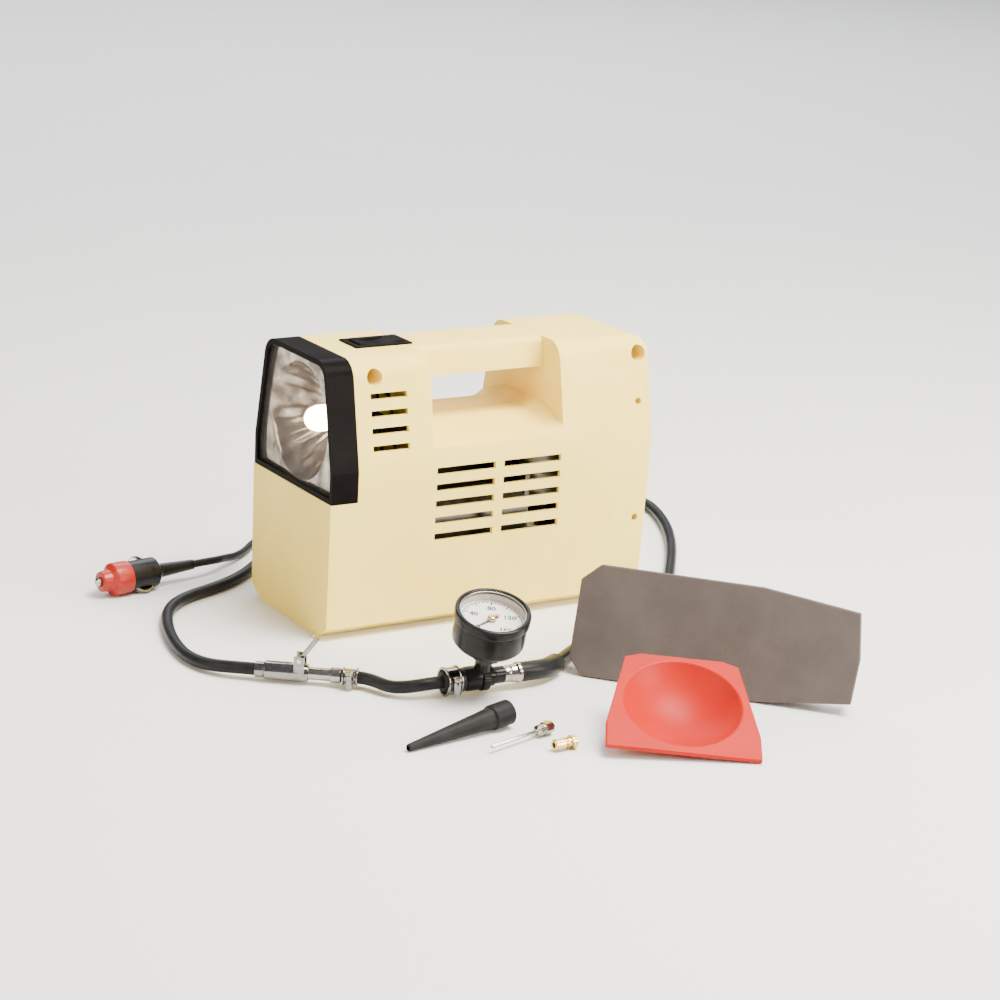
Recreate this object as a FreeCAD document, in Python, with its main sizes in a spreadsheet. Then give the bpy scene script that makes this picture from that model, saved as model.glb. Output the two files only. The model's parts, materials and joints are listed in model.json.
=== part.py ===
import FreeCAD, Part
import math
import os
import Sketcher

# A 12 volt tire inflator with a work light: a two-part housing with a motor and a piston pump inside,
# its air hose with a gauge in line, its power cord with a lighter plug, and the loose pieces that lie
# around it. Millimetres. X runs from the lamp to the back, Z is up, and the seam of the housing is
# the plane y = 0. The origin is the middle of the housing's bottom.

Vector = FreeCAD.Vector
doc = FreeCAD.newDocument("tire_inflator")

# Driving dimensions, in millimetres and degrees
SIZES = {
    # housing
    "case_length": 229.0,
    "case_height": 170.5,
    "base_half_width": 37.6,
    "flank_half_width": 50.8,
    "base_chamfer_height": 7.9,
    "belt_half_width": 52.0,
    "belt_height": 105.3,
    "brow_half_width": 39.4,
    "brow_radius": 13.0,
    "rear_draft": 3.6,
    "rear_top_radius": 8.0,
    "case_wall": 2.6,
    # handle and its well
    "well_front": -44.0,
    "well_back": 48.8,
    "well_floor_height": 124.0,
    "well_flat_half_width": 23.0,
    "well_floor_slope": 0.342,
    "well_ramp_length": 8.0,
    "well_ramp_rise": 5.6,
    "handle_top_half_width": 20.0,
    "handle_low_half_width": 22.0,
    "handle_bottom_height": 152.0,
    "handle_edge_radius": 5.0,
    # air slots
    "side_slot_front": -42.1,
    "side_slot_length": 41.3,
    "side_slot_space": 6.2,
    "side_slot_height": 4.4,
    "side_slot_pitch": 10.49,
    "side_slot_lowest": 58.3,
    "brow_slot_front": -85.7,
    "brow_slot_length": 25.0,
    "brow_slot_height": 3.8,
    "brow_slot_pitch": 10.3,
    "brow_slot_lowest": 117.7,
    # screws of the housing
    "screw_well_radius": 5.2,
    "screw_well_wall": 1.0,
    "screw_well_end": 18.0,
    "screw_front": -82.2,
    "screw_rear": 107.0,
    "screw_height": 159.8,
    "screw_radius": 1.9,
    "screw_head_radius": 3.6,
    "screw_head_height": 2.4,
    "screw_reach": 14.0,
    "small_screw_x": 105.6,
    "small_screw_high": 130.0,
    "small_screw_low": 54.6,
    "small_screw_radius": 1.2,
    "small_screw_head_radius": 2.2,
    "small_boss_radius": 4.0,
    # work light
    "bezel_depth": 18.3,
    "bezel_height": 84.1,
    "bezel_wall": 2.4,
    "window_lip": 0.9,
    "pane_thickness": 2.0,
    "lamp_drop": 44.5,
    "lamp_margin": 7.9,
    "reflector_depth": 30.0,
    "reflector_wall": 1.2,
    "reflector_neck_radius": 7.4,
    "bulb_radius": 8.0,
    "bulb_length": 24.0,
    "bulb_base_radius": 6.4,
    "bulb_base_length": 16.0,
    # rocker switch
    "switch_x": -59.4,
    "switch_length": 39.0,
    "switch_width": 23.0,
    "switch_rim": 1.2,
    "switch_rim_width": 3.0,
    "switch_depth": 15.0,
    "rocker_length": 31.0,
    "rocker_width": 15.0,
    "rocker_pivot_depth": 2.5,
    "rocker_rise": 4.6,
    # storage bay and its cover
    "cover_length": 171.0,
    "cover_height": 67.3,
    "cover_corner": 10.0,
    "cover_taper": 7.0,
    "cover_straight": 111.0,
    "cover_bow": 2.5,
    "cover_plate": 3.0,
    "cover_skirt_inset": 2.25,
    "cover_skirt_depth": 12.0,
    "cover_skirt_wall": 2.0,
    "cover_clearance": 0.4,
    "bay_front": -80.5,
    "bay_bottom": 22.0,
    "bay_back_y": 15.0,
    # motor
    "motor_y": -22.0,
    "motor_z": 62.0,
    "motor_radius": 18.5,
    "motor_wall": 1.6,
    "motor_length": 65.0,
    "end_cap_length": 4.0,
    "magnet_thickness": 3.4,
    "magnet_length": 42.0,
    "air_gap": 0.7,
    "armature_length": 34.0,
    "commutator_radius": 5.0,
    "commutator_length": 8.0,
    "shaft_radius": 1.6,
    "shaft_clearance": 0.04,
    # gears and crank
    "gear_module": 1.0,
    "pinion_teeth": 10.0,
    "gear_teeth": 48.0,
    "gear_width": 6.0,
    "gear_web": 3.0,
    "tooth_clearance": 0.35,
    "crank_throw": 6.0,
    "crank_pin_radius": 2.5,
    "axle_radius": 3.0,
    "bush_wall": 2.0,
    "run_gap": 0.5,
    # pump
    "frame_front": 31.0,
    "frame_plate": 3.0,
    "frame_near_y": -36.5,
    "frame_far_y": -2.0,
    "frame_top": 86.0,
    "shelf_height": 70.0,
    "shelf_back": 69.0,
    "cylinder_x": 52.0,
    "bore_radius": 11.0,
    "barrel_wall": 2.2,
    "flange_radius": 16.5,
    "flange_thickness": 3.0,
    "fin_radius": 15.4,
    "fin_thickness": 1.2,
    "cylinder_height": 24.0,
    "head_height": 7.0,
    "piston_clearance": 0.1,
    "piston_height": 8.0,
    "rod_length": 49.0,
    "rod_width": 7.0,
    "rod_thickness": 4.0,
    "rod_eye_radius": 6.0,
    "head_screw_ring": 14.2,
    "head_screw_radius": 1.1,
    "head_screw_head": 2.0,
    # air and wires inside
    "outlet_tube_radius": 3.0,
    "lead_radius": 1.3,
    # glands
    "gland_height": 14.4,
    "hose_gland_x": 0.0,
    "hose_gland_radius": 5.6,
    "hose_gland_length": 14.0,
    "relief_x": 85.0,
    "relief_radius": 4.6,
    "relief_tip_radius": 3.2,
    "relief_length": 30.0,
    "gland_flange": 1.4,
    # cords and hoses
    "cord_diameter": 5.0,
    "hose_diameter": 7.5,
    "coil_x": 60.0,
    "coil_y": 140.0,
    "coil_mean_radius": 27.5,
    "coil_band_width": 19.0,
    "coil_band_height": 19.0,
    "tie_wall": 0.8,
    "tie_width": 6.0,
    # lighter plug
    "plug_tip_x": -208.6,
    "plug_tip_y": 79.0,
    "plug_heading": 9.0,
    "plug_radius": 10.4,
    "plug_floor_gap": 0.2,
    "plug_pin_radius": 3.0,
    "plug_pin_proud": 3.2,
    "plug_nose_radius": 7.0,
    "plug_nose_length": 7.0,
    "plug_ring_length": 13.0,
    "plug_barrel_radius": 9.6,
    "plug_barrel_length": 22.0,
    "plug_grip_radius": 4.6,
    "plug_grip_length": 27.0,
    "contact_proud": 2.1,
    "contact_length": 14.0,
    "contact_width": 3.6,
    "contact_lean": -42.0,
    "contact_thickness": 0.6,
    "spring_wire": 0.6,
    "spring_turns": 4.0,
    # chuck
    "chuck_x": -181.0,
    "chuck_y": -90.5,
    "chuck_height": 6.6,
    "chuck_heading": -37.0,
    "chuck_radius": 5.6,
    "chuck_length": 31.0,
    "chuck_mouth_radius": 4.0,
    "chuck_mouth_depth": 9.0,
    "lever_pin_x": 26.0,
    "lever_pin_rise": 8.3,
    "lever_pin_radius": 1.2,
    "lever_length": 17.5,
    "lever_width": 7.0,
    "lever_thickness": 2.6,
    "lever_rest": 54.0,
    "lever_clearance": 0.3,
    "stem_radius": 3.7,
    "stem_length": 19.0,
    "stem_collar_radius": 4.6,
    # gauge tee
    "tee_x": -72.0,
    "tee_y": -161.5,
    "tee_height": 9.5,
    "tee_heading": -4.0,
    "tee_radius": 7.2,
    "tee_front": 12.0,
    "tee_back": 14.0,
    "tee_hub_radius": 5.0,
    "clamp_width": 9.0,
    "clamp_wall": 0.8,
    "clamp_screw_radius": 2.2,
    "clamp_screw_length": 10.0,
    "cuff_radius": 7.2,
    "cuff_length": 13.0,
    "ferrule_radius": 6.2,
    "ferrule_length": 11.0,
    "sleeve_radius": 5.9,
    # gauge
    "gauge_tilt": 18.0,
    "gauge_azimuth": -100.0,
    "gauge_reach": 48.0,
    "gauge_radius": 22.0,
    "gauge_depth": 23.0,
    "gauge_wall": 1.8,
    "ring_wall": 1.0,
    "ring_lip": 3.2,
    "ring_lip_thickness": 1.4,
    "glass_thickness": 1.5,
    "dial_depth": 8.0,
    "dial_thickness": 0.8,
    "dial_step": 2.2,
    "stem_square": 11.5,
    "post_radius": 0.9,
    "post_clearance": 0.05,
    "needle_length": 11.5,
    "needle_tail": 5.0,
    "needle_thickness": 0.5,
    "needle_hub_radius": 2.4,
    "needle_hub_height": 2.0,
    "needle_rest": 196.0,
    "bourdon_radius": 12.5,
    "bourdon_tube_radius": 1.5,
    "bourdon_sweep": 250.0,
    # tyre connector
    "connector_radius": 6.0,
    "connector_length": 20.0,
    "connector_thread_radius": 4.1,
    "connector_thread_depth": 9.0,
    # standing cover
    "stand_x": -9.5,
    "stand_y": -157.0,
    "stand_heading": -48.7,
    "floor_gap": 0.2,
    # lens
    "lens_x": -6.2,
    "lens_y": -269.7,
    "lens_heading": -32.0,
    "lens_pitch": 23.6,
    "lens_roll": 4.1,
    "lens_half_width": 43.2,
    "lens_knee_half_width": 43.0,
    "lens_knee": 18.0,
    "lens_shoulder_half_width": 32.4,
    "lens_shoulder": 72.0,
    "lens_top_half_width": 23.4,
    "lens_top": 75.5,
    "lens_plate": 3.0,
    "lens_wall": 2.4,
    "dome_up": 38.2,
    "dome_radius": 33.5,
    "dome_depth": 16.0,
    # adapters
    "nozzle_x": -155.4,
    "nozzle_y": -225.2,
    "nozzle_heading": 9.2,
    "nozzle_length": 58.0,
    "nozzle_tip_radius": 2.2,
    "nozzle_root_radius": 6.2,
    "nozzle_collar_radius": 7.2,
    "nozzle_collar_length": 14.0,
    "nozzle_bore_radius": 1.3,
    "needle_x": -115.4,
    "needle_y": -246.1,
    "needle_heading": 15.5,
    "ball_pin_length": 37.0,
    "ball_pin_radius": 1.1,
    "ball_base_radius": 4.0,
    "ball_base_length": 11.0,
    "adaptor_x": -82.2,
    "adaptor_y": -257.5,
    "adaptor_heading": 1.3,
    "adaptor_length": 14.0,
    "adaptor_radius": 3.0,
    "adaptor_flange_radius": 3.8,
    "adaptor_bore_radius": 1.6,
}

sheet = doc.addObject("Spreadsheet::Sheet", "Sizes")
for row, (alias, value) in enumerate(SIZES.items(), start=1):
    sheet.set(f"A{row}", alias)
    sheet.set(f"B{row}", str(value))
    sheet.setAlias(f"B{row}", alias)
doc.recompute()


def words(size):
    """What an expression says for a size or for a plain number."""
    return size.text if isinstance(size, Size) else repr(float(size))


class Size:
    """A number from the sheet, or one worked out from such numbers, with the expression that says how."""

    def __init__(self, value, text):
        self.value = float(value)
        self.text = text

    def __float__(self):
        return self.value

    def __add__(self, other):
        return Size(self.value + float(other), f"({self.text} + {words(other)})")

    def __radd__(self, other):
        return Size(float(other) + self.value, f"({words(other)} + {self.text})")

    def __sub__(self, other):
        return Size(self.value - float(other), f"({self.text} - {words(other)})")

    def __rsub__(self, other):
        return Size(float(other) - self.value, f"({words(other)} - {self.text})")

    def __mul__(self, other):
        return Size(self.value * float(other), f"({self.text} * {words(other)})")

    def __rmul__(self, other):
        return Size(float(other) * self.value, f"({words(other)} * {self.text})")

    def __truediv__(self, other):
        return Size(self.value / float(other), f"({self.text} / {words(other)})")

    def __neg__(self):
        return Size(-self.value, f"(0 - {self.text})")


class Dimensions:
    """Each size of the sheet under its alias."""


dim = Dimensions()
for alias in SIZES:
    setattr(dim, alias, Size(sheet.get(alias), "Sizes." + alias))


def root(size):
    return Size(math.sqrt(float(size)), f"sqrt({words(size)})")


def tangent(angle):
    return Size(math.tan(math.radians(float(angle))), f"tan({words(angle)} * 1 deg)")


def spot(x, y, z):
    return Vector(float(x), float(y), float(z))


# Building blocks

def bind(thing, **sizes):
    """Bind properties to sizes; two underscores stand for a dot."""
    for name, size in sizes.items():
        thing.setExpression(name.replace("__", "."), words(size))


def move(thing, x=0.0, y=0.0, z=0.0):
    bind(thing, Placement__Base__x=x, Placement__Base__y=y, Placement__Base__z=z)
    return thing


def block(name, x0, x1, y0, y1, z0, z1):
    """A box between two corners."""
    solid = doc.addObject("Part::Box", name)
    bind(solid, Length=x1 - x0, Width=y1 - y0, Height=z1 - z0)
    return move(solid, x0, y0, z0)


TURNS = {
    "X": FreeCAD.Rotation(Vector(0, 1, 0), 90),
    "Y": FreeCAD.Rotation(Vector(1, 0, 0), -90),
    "Z": FreeCAD.Rotation(),
}


def rod(name, axis, radius, length, x=0.0, y=0.0, z=0.0):
    """A round rod that starts at a point and runs along an axis."""
    solid = doc.addObject("Part::Cylinder", name)
    solid.Placement = FreeCAD.Placement(Vector(), TURNS[axis])
    bind(solid, Radius=radius, Height=length)
    return move(solid, x, y, z)


def fuse(name, *parts):
    solid = doc.addObject("Part::MultiFuse", name)
    solid.Shapes = list(parts)
    return solid


def common(name, *parts):
    solid = doc.addObject("Part::MultiCommon", name)
    solid.Shapes = list(parts)
    return solid


def cut(name, base, *tools):
    solid = doc.addObject("Part::Cut", name)
    solid.Base = base
    solid.Tool = tools[0] if len(tools) == 1 else fuse(name + "_tools", *tools)
    return solid


def group(name, *parts):
    solid = doc.addObject("Part::Compound", name)
    solid.Links = list(parts)
    return solid


def new_sketch(body, plane, lift=0.0):
    """A sketch on one of the body's own origin planes, lifted along its normal."""
    sketch = body.newObject("Sketcher::SketchObject", body.Name + "_sketch")
    origin = [plane_object for plane_object in body.Origin.OriginFeatures
              if plane_object.Role == plane + "_Plane"][0]
    sketch.AttachmentSupport = [(origin, "")]
    sketch.MapMode = "FlatFace"
    bind(sketch, AttachmentOffset__Base__z=lift)
    return sketch


def draw(sketch, corners):
    """A closed outline with every corner placed from the sketch's origin."""
    first = sketch.GeometryCount
    count = len(corners)
    points = [Vector(float(a), float(b), 0) for a, b in corners]
    for i in range(count):
        sketch.addGeometry(Part.LineSegment(points[i], points[(i + 1) % count]), False)
    for i in range(count):
        after = first + (i + 1) % count
        sketch.addConstraint(Sketcher.Constraint("Coincident", first + i, 2, after, 1))
    for i, corner in enumerate(corners):
        for kind, size in zip(("DistanceX", "DistanceY"), corner):
            index = sketch.addConstraint(Sketcher.Constraint(kind, -1, 1, first + i, 1, float(size)))
            if isinstance(size, Size):
                sketch.setExpression(f"Constraints[{index}]", size.text)


def slab(name, plane, start, end, *outlines):
    """A body padded between two planes: YZ along X, XZ along Y, XY along Z."""
    body = doc.addObject("PartDesign::Body", name)
    sketch = new_sketch(body, plane, -end if plane == "XZ" else start)
    for corners in outlines:
        draw(sketch, corners)
    pad = body.newObject("PartDesign::Pad", name + "_pad")
    pad.Profile = sketch
    bind(pad, Length=end - start)
    return body


def turned(name, axis, profile):
    """A body turned about its X axis from (x, radius), or about its Z axis from (radius, z)."""
    body = doc.addObject("PartDesign::Body", name)
    sketch = new_sketch(body, "XZ")
    draw(sketch, profile)
    turn = body.newObject("PartDesign::Revolution", name + "_turn")
    turn.Profile = sketch
    turn.ReferenceAxis = (sketch, ["H_Axis" if axis == "X" else "V_Axis"])
    turn.Angle = 360
    return body


def round_edges(body, radius, *places):
    """Fillet the body's straight edges along X that pass the given (y, z) places."""
    doc.recompute()
    names = []
    for index, edge in enumerate(body.Shape.Edges, start=1):
        ends = [vertex.Point for vertex in edge.Vertexes]
        along_x = len(ends) == 2 and abs(ends[0].y - ends[1].y) + abs(ends[0].z - ends[1].z) < 1e-4
        for y, z in places:
            if along_x and math.hypot(ends[0].y - float(y), ends[0].z - float(z)) < 1e-3:
                names.append(f"Edge{index}")
    base = body.Tip
    fillet = body.newObject("PartDesign::Fillet", body.Name + "_fillet")
    fillet.Base = (base, names)
    bind(fillet, Radius=radius)
    return body


def place(thing, frame):
    """Set a finished piece down in a frame."""
    thing.Placement = frame
    return thing


def heading_frame(x, y, z, heading, pitch=0.0):
    """A frame at a point whose X axis points along a heading and climbs by a pitch."""
    turn = FreeCAD.Rotation(Vector(0, 0, 1), float(heading))
    climb = FreeCAD.Rotation(Vector(0, 1, 0), -float(pitch))
    return FreeCAD.Placement(spot(x, y, z), turn.multiply(climb))


# Cords and hoses: straight runs joined by tangent arcs

ARC_SHARE = 0.45


def route_wire(name, points):
    """The path through a route's points, with each arc as large as its two runs allow."""
    edges = []
    radii = []
    start = points[0]
    for before, corner, after in zip(points, points[1:], points[2:]):
        run_in = corner - before
        run_out = after - corner
        turn = run_in.getAngle(run_out)
        reach = ARC_SHARE * min(run_in.Length, run_out.Length)
        radius = reach / math.tan(turn / 2)
        run_in.normalize()
        run_out.normalize()
        inward = run_out - run_in
        inward.normalize()
        centre = corner + inward * (radius / math.cos(turn / 2))
        first = corner - run_in * reach
        last = corner + run_out * reach
        edges.append(Part.LineSegment(start, first).toShape())
        edges.append(Part.Arc(first, centre - inward * radius, last).toShape())
        start = last
        radii.append(round(radius, 1))
    edges.append(Part.LineSegment(start, points[-1]).toShape())
    print(name, "arc radii", radii)
    return Part.Wire(edges)


def tube_shape(name, route, radius):
    """A round solid along a route, with its volume compared with section times length."""
    points = [Vector(*point) for point in route]
    wire = route_wire(name, points)
    circle = Part.Circle(points[0], points[1] - points[0], float(radius))
    solid = wire.makePipeShell([Part.Wire(circle.toShape())], True, False)
    wanted = math.pi * float(radius) ** 2 * wire.Length
    print(name, "length", round(wire.Length, 1), "volume ratio", round(solid.Volume / wanted, 4))
    return solid


def cord(name, radius, *routes):
    solids = [tube_shape(name, route, radius) for route in routes]
    feature = doc.addObject("Part::Feature", name)
    feature.Shape = solids[0] if len(solids) == 1 else Part.makeCompound(solids)
    feature.Placement = FreeCAD.Placement()
    return feature


# Where the housing's surfaces are

case_front = -dim.case_length / 2
case_back = dim.case_length / 2
brow_front = case_front + dim.bezel_depth
wall = dim.case_wall


bezel_bottom = dim.case_height - dim.bezel_height
lamp_height = dim.case_height - dim.lamp_drop
lamp_radius = dim.lamp_drop - dim.lamp_margin


def flank(z):
    """The housing's half width at a height between its chamfer and its belt."""
    climb = (z - dim.base_chamfer_height) / (dim.belt_height - dim.base_chamfer_height)
    return dim.flank_half_width + (dim.belt_half_width - dim.flank_half_width) * climb


def brow(z):
    """The housing's half width at a height above its belt."""
    climb = (z - dim.belt_height) / (dim.case_height - dim.belt_height)
    return dim.belt_half_width - (dim.belt_half_width - dim.brow_half_width) * climb


def case_section(name, inset, start, end):
    """The housing's cross-section, drawn in by an inset and padded along X."""
    run = dim.flank_half_width - dim.base_half_width
    rise = dim.base_chamfer_height
    slant = root(run * run + rise * rise)
    half = [
        (dim.base_half_width - inset * (slant - run) / rise, inset),
        (dim.flank_half_width - inset, rise + inset * (slant - rise) / run),
        (dim.belt_half_width - inset, dim.belt_height),
        (dim.brow_half_width - inset, dim.case_height - inset),
    ]
    corners = half + [(-w, z) for w, z in reversed(half)]
    body = slab(name, "YZ", start, end, corners)
    top = half[-1]
    return round_edges(body, dim.brow_radius - inset, top, (-top[0], top[1]))


def case_profile(name, inset, front_top, half_width):
    """The housing's outline from the side, padded over its width, with its rear top corner rounded."""
    low_front = case_front + inset
    shelf = bezel_bottom - inset
    corners = [
        (low_front, inset),
        (case_back - dim.rear_draft - inset, inset),
        (case_back - inset, dim.belt_height),
        (case_back - inset, dim.case_height - inset - dim.rear_top_radius),
        (case_back - inset - dim.rear_top_radius * 0.3, dim.case_height - inset - dim.rear_top_radius * 0.3),
        (case_back - inset - dim.rear_top_radius, dim.case_height - inset),
        (front_top, dim.case_height - inset),
        (front_top, shelf),
        (low_front, shelf),
    ]
    return slab(name, "XZ", -half_width, half_width, corners)


def well_ramp(name, foot, end, grow, out):
    """The rise of the well's floor towards the back: a wedge that follows the floor outwards."""
    level = dim.well_floor_height - grow
    rise = dim.well_ramp_rise * (end - foot) / dim.well_ramp_length
    profile = [(foot, level - 1.0), (end, level - 1.0), (end, level + rise), (foot, level)]
    middle = slab(name + "_ramp", "XZ", -dim.well_flat_half_width, dim.well_flat_half_width, profile)
    parts = [middle]
    spread = out - dim.well_flat_half_width
    fall = spread * dim.well_floor_slope
    for sign in (-1, 1):
        holder = doc.addObject("PartDesign::Body", name + "_ramp_side")
        sketch = new_sketch(holder, "XZ", -sign * dim.well_flat_half_width)
        draw(sketch, profile)
        side = doc.addObject("Part::Extrusion", name + "_ramp_run")
        side.Base = sketch
        side.DirMode = "Custom"
        side.Dir = spot(0.0, sign * spread, -fall)
        bind(side, LengthFwd=root(spread * spread + fall * fall))
        side.Solid = True
        parts.append(side)
    return fuse(name + "_ramps", *parts)


def well_tool(name, grow):
    """What the handle's well takes out of the housing: the space round the handle, grown by a wall."""
    out = dim.belt_half_width + 8.0
    top = dim.case_height + 6.0
    slope = dim.well_floor_slope

    def floor(lift):
        level = dim.well_floor_height + lift - grow
        return [(-out, level - (out - dim.well_flat_half_width) * slope), (-dim.well_flat_half_width, level),
                (dim.well_flat_half_width, level), (out, level - (out - dim.well_flat_half_width) * slope)]

    front = dim.well_front - grow
    back = dim.well_back + grow
    ramp_foot = back - dim.well_ramp_length
    space = slab(name + "_space", "YZ", front, back, floor(0.0) + [(out, top), (-out, top)])
    ramp = well_ramp(name, ramp_foot, back + 1.0, grow, out)
    handle = slab(name + "_handle", "YZ", front - 1.0, back + 1.0, [
        (-dim.handle_low_half_width + grow, dim.handle_bottom_height + grow),
        (dim.handle_low_half_width - grow, dim.handle_bottom_height + grow),
        (dim.handle_top_half_width - grow, dim.case_height - grow),
        (-dim.handle_top_half_width + grow, dim.case_height - grow)])
    top_y = dim.handle_top_half_width - grow
    round_edges(handle, dim.handle_edge_radius - grow, (top_y, dim.case_height - grow),
                (-top_y, dim.case_height - grow))
    return cut(name, space, ramp, handle)


def slots(name, front, length, lowest, height, pitch, rows, y0, y1):
    """A column of air slots, cut along Y."""
    return [block(f"{name}_{row}", front, front + length, y0, y1,
                  lowest - height / 2 + pitch * row, lowest + height / 2 + pitch * row)
            for row in range(rows)]


def cover_outline(inset, x, z):
    """The storage cover's outline from a corner: two cut corners at the front and a taper at the back."""
    corner = dim.cover_corner
    end = dim.cover_length - dim.cover_bow
    middle = dim.cover_height / 2
    edge = corner * 0.8
    points = [
        (edge + inset * 0.4, inset),
        (dim.cover_straight, inset),
        (end - inset, dim.cover_taper + inset),
        (dim.cover_length - inset, middle),
        (end - inset, dim.cover_height - dim.cover_taper - inset),
        (dim.cover_straight, dim.cover_height - inset),
        (corner * 1.4 + inset * 0.4, dim.cover_height - inset),
        (corner * 0.25 + inset, dim.cover_height - corner - inset * 0.4),
        (inset, corner + inset * 0.4),
    ]
    return [(a + x, b + z) for a, b in points]


# Housing shells

SIDES = {"near": -1, "far": 1}
BROW_ROWS = 4
SIDE_ROWS = 5
SKIN_REACH = 14.0


def long_screws():
    return [dim.screw_front, dim.screw_rear]


def small_screws():
    return [dim.small_screw_high, dim.small_screw_low]


def bosses(side):
    """The bosses inside one half that the screws pass through, down to the seam."""
    solids = []
    sign = SIDES[side]
    for index, x in enumerate(long_screws()):
        length = brow(dim.screw_height) - wall / 2
        start = -length if sign < 0 else 0.0
        solids.append(rod(f"{side}_boss_{index}", "Y", dim.screw_well_radius + dim.screw_well_wall,
                          length, x, start, dim.screw_height))
    for index, z in enumerate(small_screws()):
        length = dim.belt_half_width
        start = -length if sign < 0 else 0.0
        solids.append(rod(f"{side}_small_boss_{index}", "Y", dim.small_boss_radius, length,
                          dim.small_screw_x, start, z))
    return solids


def screw_holes(side):
    """The wells for the long screws' heads and the holes for every screw."""
    solids = []
    sign = SIDES[side]
    far_out = dim.belt_half_width + 6.0
    for index, x in enumerate(long_screws()):
        if sign < 0:
            solids.append(rod(f"{side}_head_well_{index}", "Y", dim.screw_well_radius,
                              far_out - dim.screw_well_end, x, -far_out, dim.screw_height))
        length = dim.screw_well_end + 1.0 if sign < 0 else dim.screw_reach + 1.0
        start = -length if sign < 0 else -1.0
        solids.append(rod(f"{side}_screw_hole_{index}", "Y", dim.screw_radius, length, x, start,
                          dim.screw_height))
    for index, z in enumerate(small_screws()):
        if sign < 0:
            solids.append(rod(f"{side}_small_well_{index}", "Y", dim.small_screw_head_radius,
                              far_out - small_head_depth(), dim.small_screw_x, -far_out, z))
        length = far_out if sign < 0 else dim.screw_reach + 1.0
        start = -length if sign < 0 else -1.0
        solids.append(rod(f"{side}_small_hole_{index}", "Y", dim.small_screw_radius, length,
                          dim.small_screw_x, start, z))
    return solids


def small_head_depth():
    """How far from the seam the small screws' heads sit."""
    return dim.belt_half_width - 14.0


def shell(side):
    """One half of the housing: its skin, the well's walls, the slots and the screw bosses."""
    sign = SIDES[side]
    width = dim.belt_half_width + 10.0
    outer = common(side + "_outer", case_section(side + "_section", 0.0, case_front, case_back),
                   case_profile(side + "_profile", 0.0, brow_front, width))
    inner = common(side + "_inner", case_section(side + "_inner_section", wall, case_front, case_back),
                   case_profile(side + "_inner_profile", wall, brow_front - 2.0, width))
    cavity = cut(side + "_cavity", inner, well_tool(side + "_grown_well", wall))
    if side == "near":
        half = block(side + "_half", case_front - 1.0, case_back + 1.0, -width, 0.0,
                     -1.0 * wall, dim.case_height + 1.0)
    else:
        half = block(side + "_half", case_front - 1.0, case_back + 1.0, 0.0, width,
                     -1.0 * wall, dim.case_height + 1.0)
    skin = cut(side + "_skin", outer, cavity)
    body = common(side + "_part", skin, half)
    extras = [common(side + "_bosses", fuse(side + "_boss_rods", *bosses(side)), outer_copy(side))]
    tools = [well_tool(side + "_well", 0.0), switch_hole(side)] + screw_holes(side)
    reach = dim.belt_half_width + 2.0
    inside = dim.belt_half_width - SKIN_REACH
    y0, y1 = (-reach, -inside) if sign < 0 else (inside, reach)
    tools += slots(side + "_brow_slot", dim.brow_slot_front, dim.brow_slot_length, dim.brow_slot_lowest,
                   dim.brow_slot_height, dim.brow_slot_pitch, BROW_ROWS, y0, y1)
    if side == "near":
        second = dim.side_slot_front + dim.side_slot_length + dim.side_slot_space
        for column, front in enumerate((dim.side_slot_front, second)):
            tools += slots(f"side_slot_{column}", front, dim.side_slot_length, dim.side_slot_lowest,
                           dim.side_slot_height, dim.side_slot_pitch, SIDE_ROWS, y0, y1)
    else:
        extras.append(bay_walls())
        tools += bay_space()
        tools.append(rod("hose_hole", "Y", dim.hose_gland_radius - dim.gland_flange, width,
                         dim.hose_gland_x, dim.bay_back_y, dim.gland_height))
        tools.append(rod("cord_hole", "Y", dim.relief_radius - dim.gland_flange, width,
                         dim.relief_x, dim.bay_back_y, dim.gland_height))
    return cut(side + "_shell", fuse(side + "_solid", body, *extras), *tools)


def outer_copy(side):
    """The space that a shell's bosses may fill: inside the skin's middle, clear of the well."""
    width = dim.belt_half_width + 10.0
    middle = wall / 2
    form = common(side + "_boss_form", case_section(side + "_boss_section", middle, case_front, case_back),
                  case_profile(side + "_boss_profile", middle, brow_front, width))
    return form


def switch_hole(side):
    """The hole in the top that the switch drops into."""
    return block(side + "_switch_hole",
                 dim.switch_x - dim.switch_length / 2 + dim.switch_rim_width,
                 dim.switch_x + dim.switch_length / 2 - dim.switch_rim_width,
                 -dim.switch_width / 2 + dim.switch_rim_width, dim.switch_width / 2 - dim.switch_rim_width,
                 dim.case_height - wall * 2, dim.case_height + 1.0)


def bay_walls():
    """The walls of the storage bay in the far half, as one block that the bay's space is taken out of."""
    solid = slab("bay_block", "XZ", dim.bay_back_y - wall, flank(dim.bay_bottom) - wall / 2,
                 cover_outline(-wall, dim.bay_front, dim.bay_bottom))
    return solid


def bay_space():
    """The bay itself: the skirt's opening through the skin, and the cover's rebate in it."""
    deep = slab("bay_space", "XZ", dim.bay_back_y, dim.belt_half_width + 4.0,
                cover_outline(dim.cover_skirt_inset - dim.cover_clearance, dim.bay_front, dim.bay_bottom))
    return [deep]


near_shell = shell("near")
far_shell = shell("far")


SCREW_SLOT = 0.8
SCREW_SLOT_DEPTH = 0.9


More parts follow.
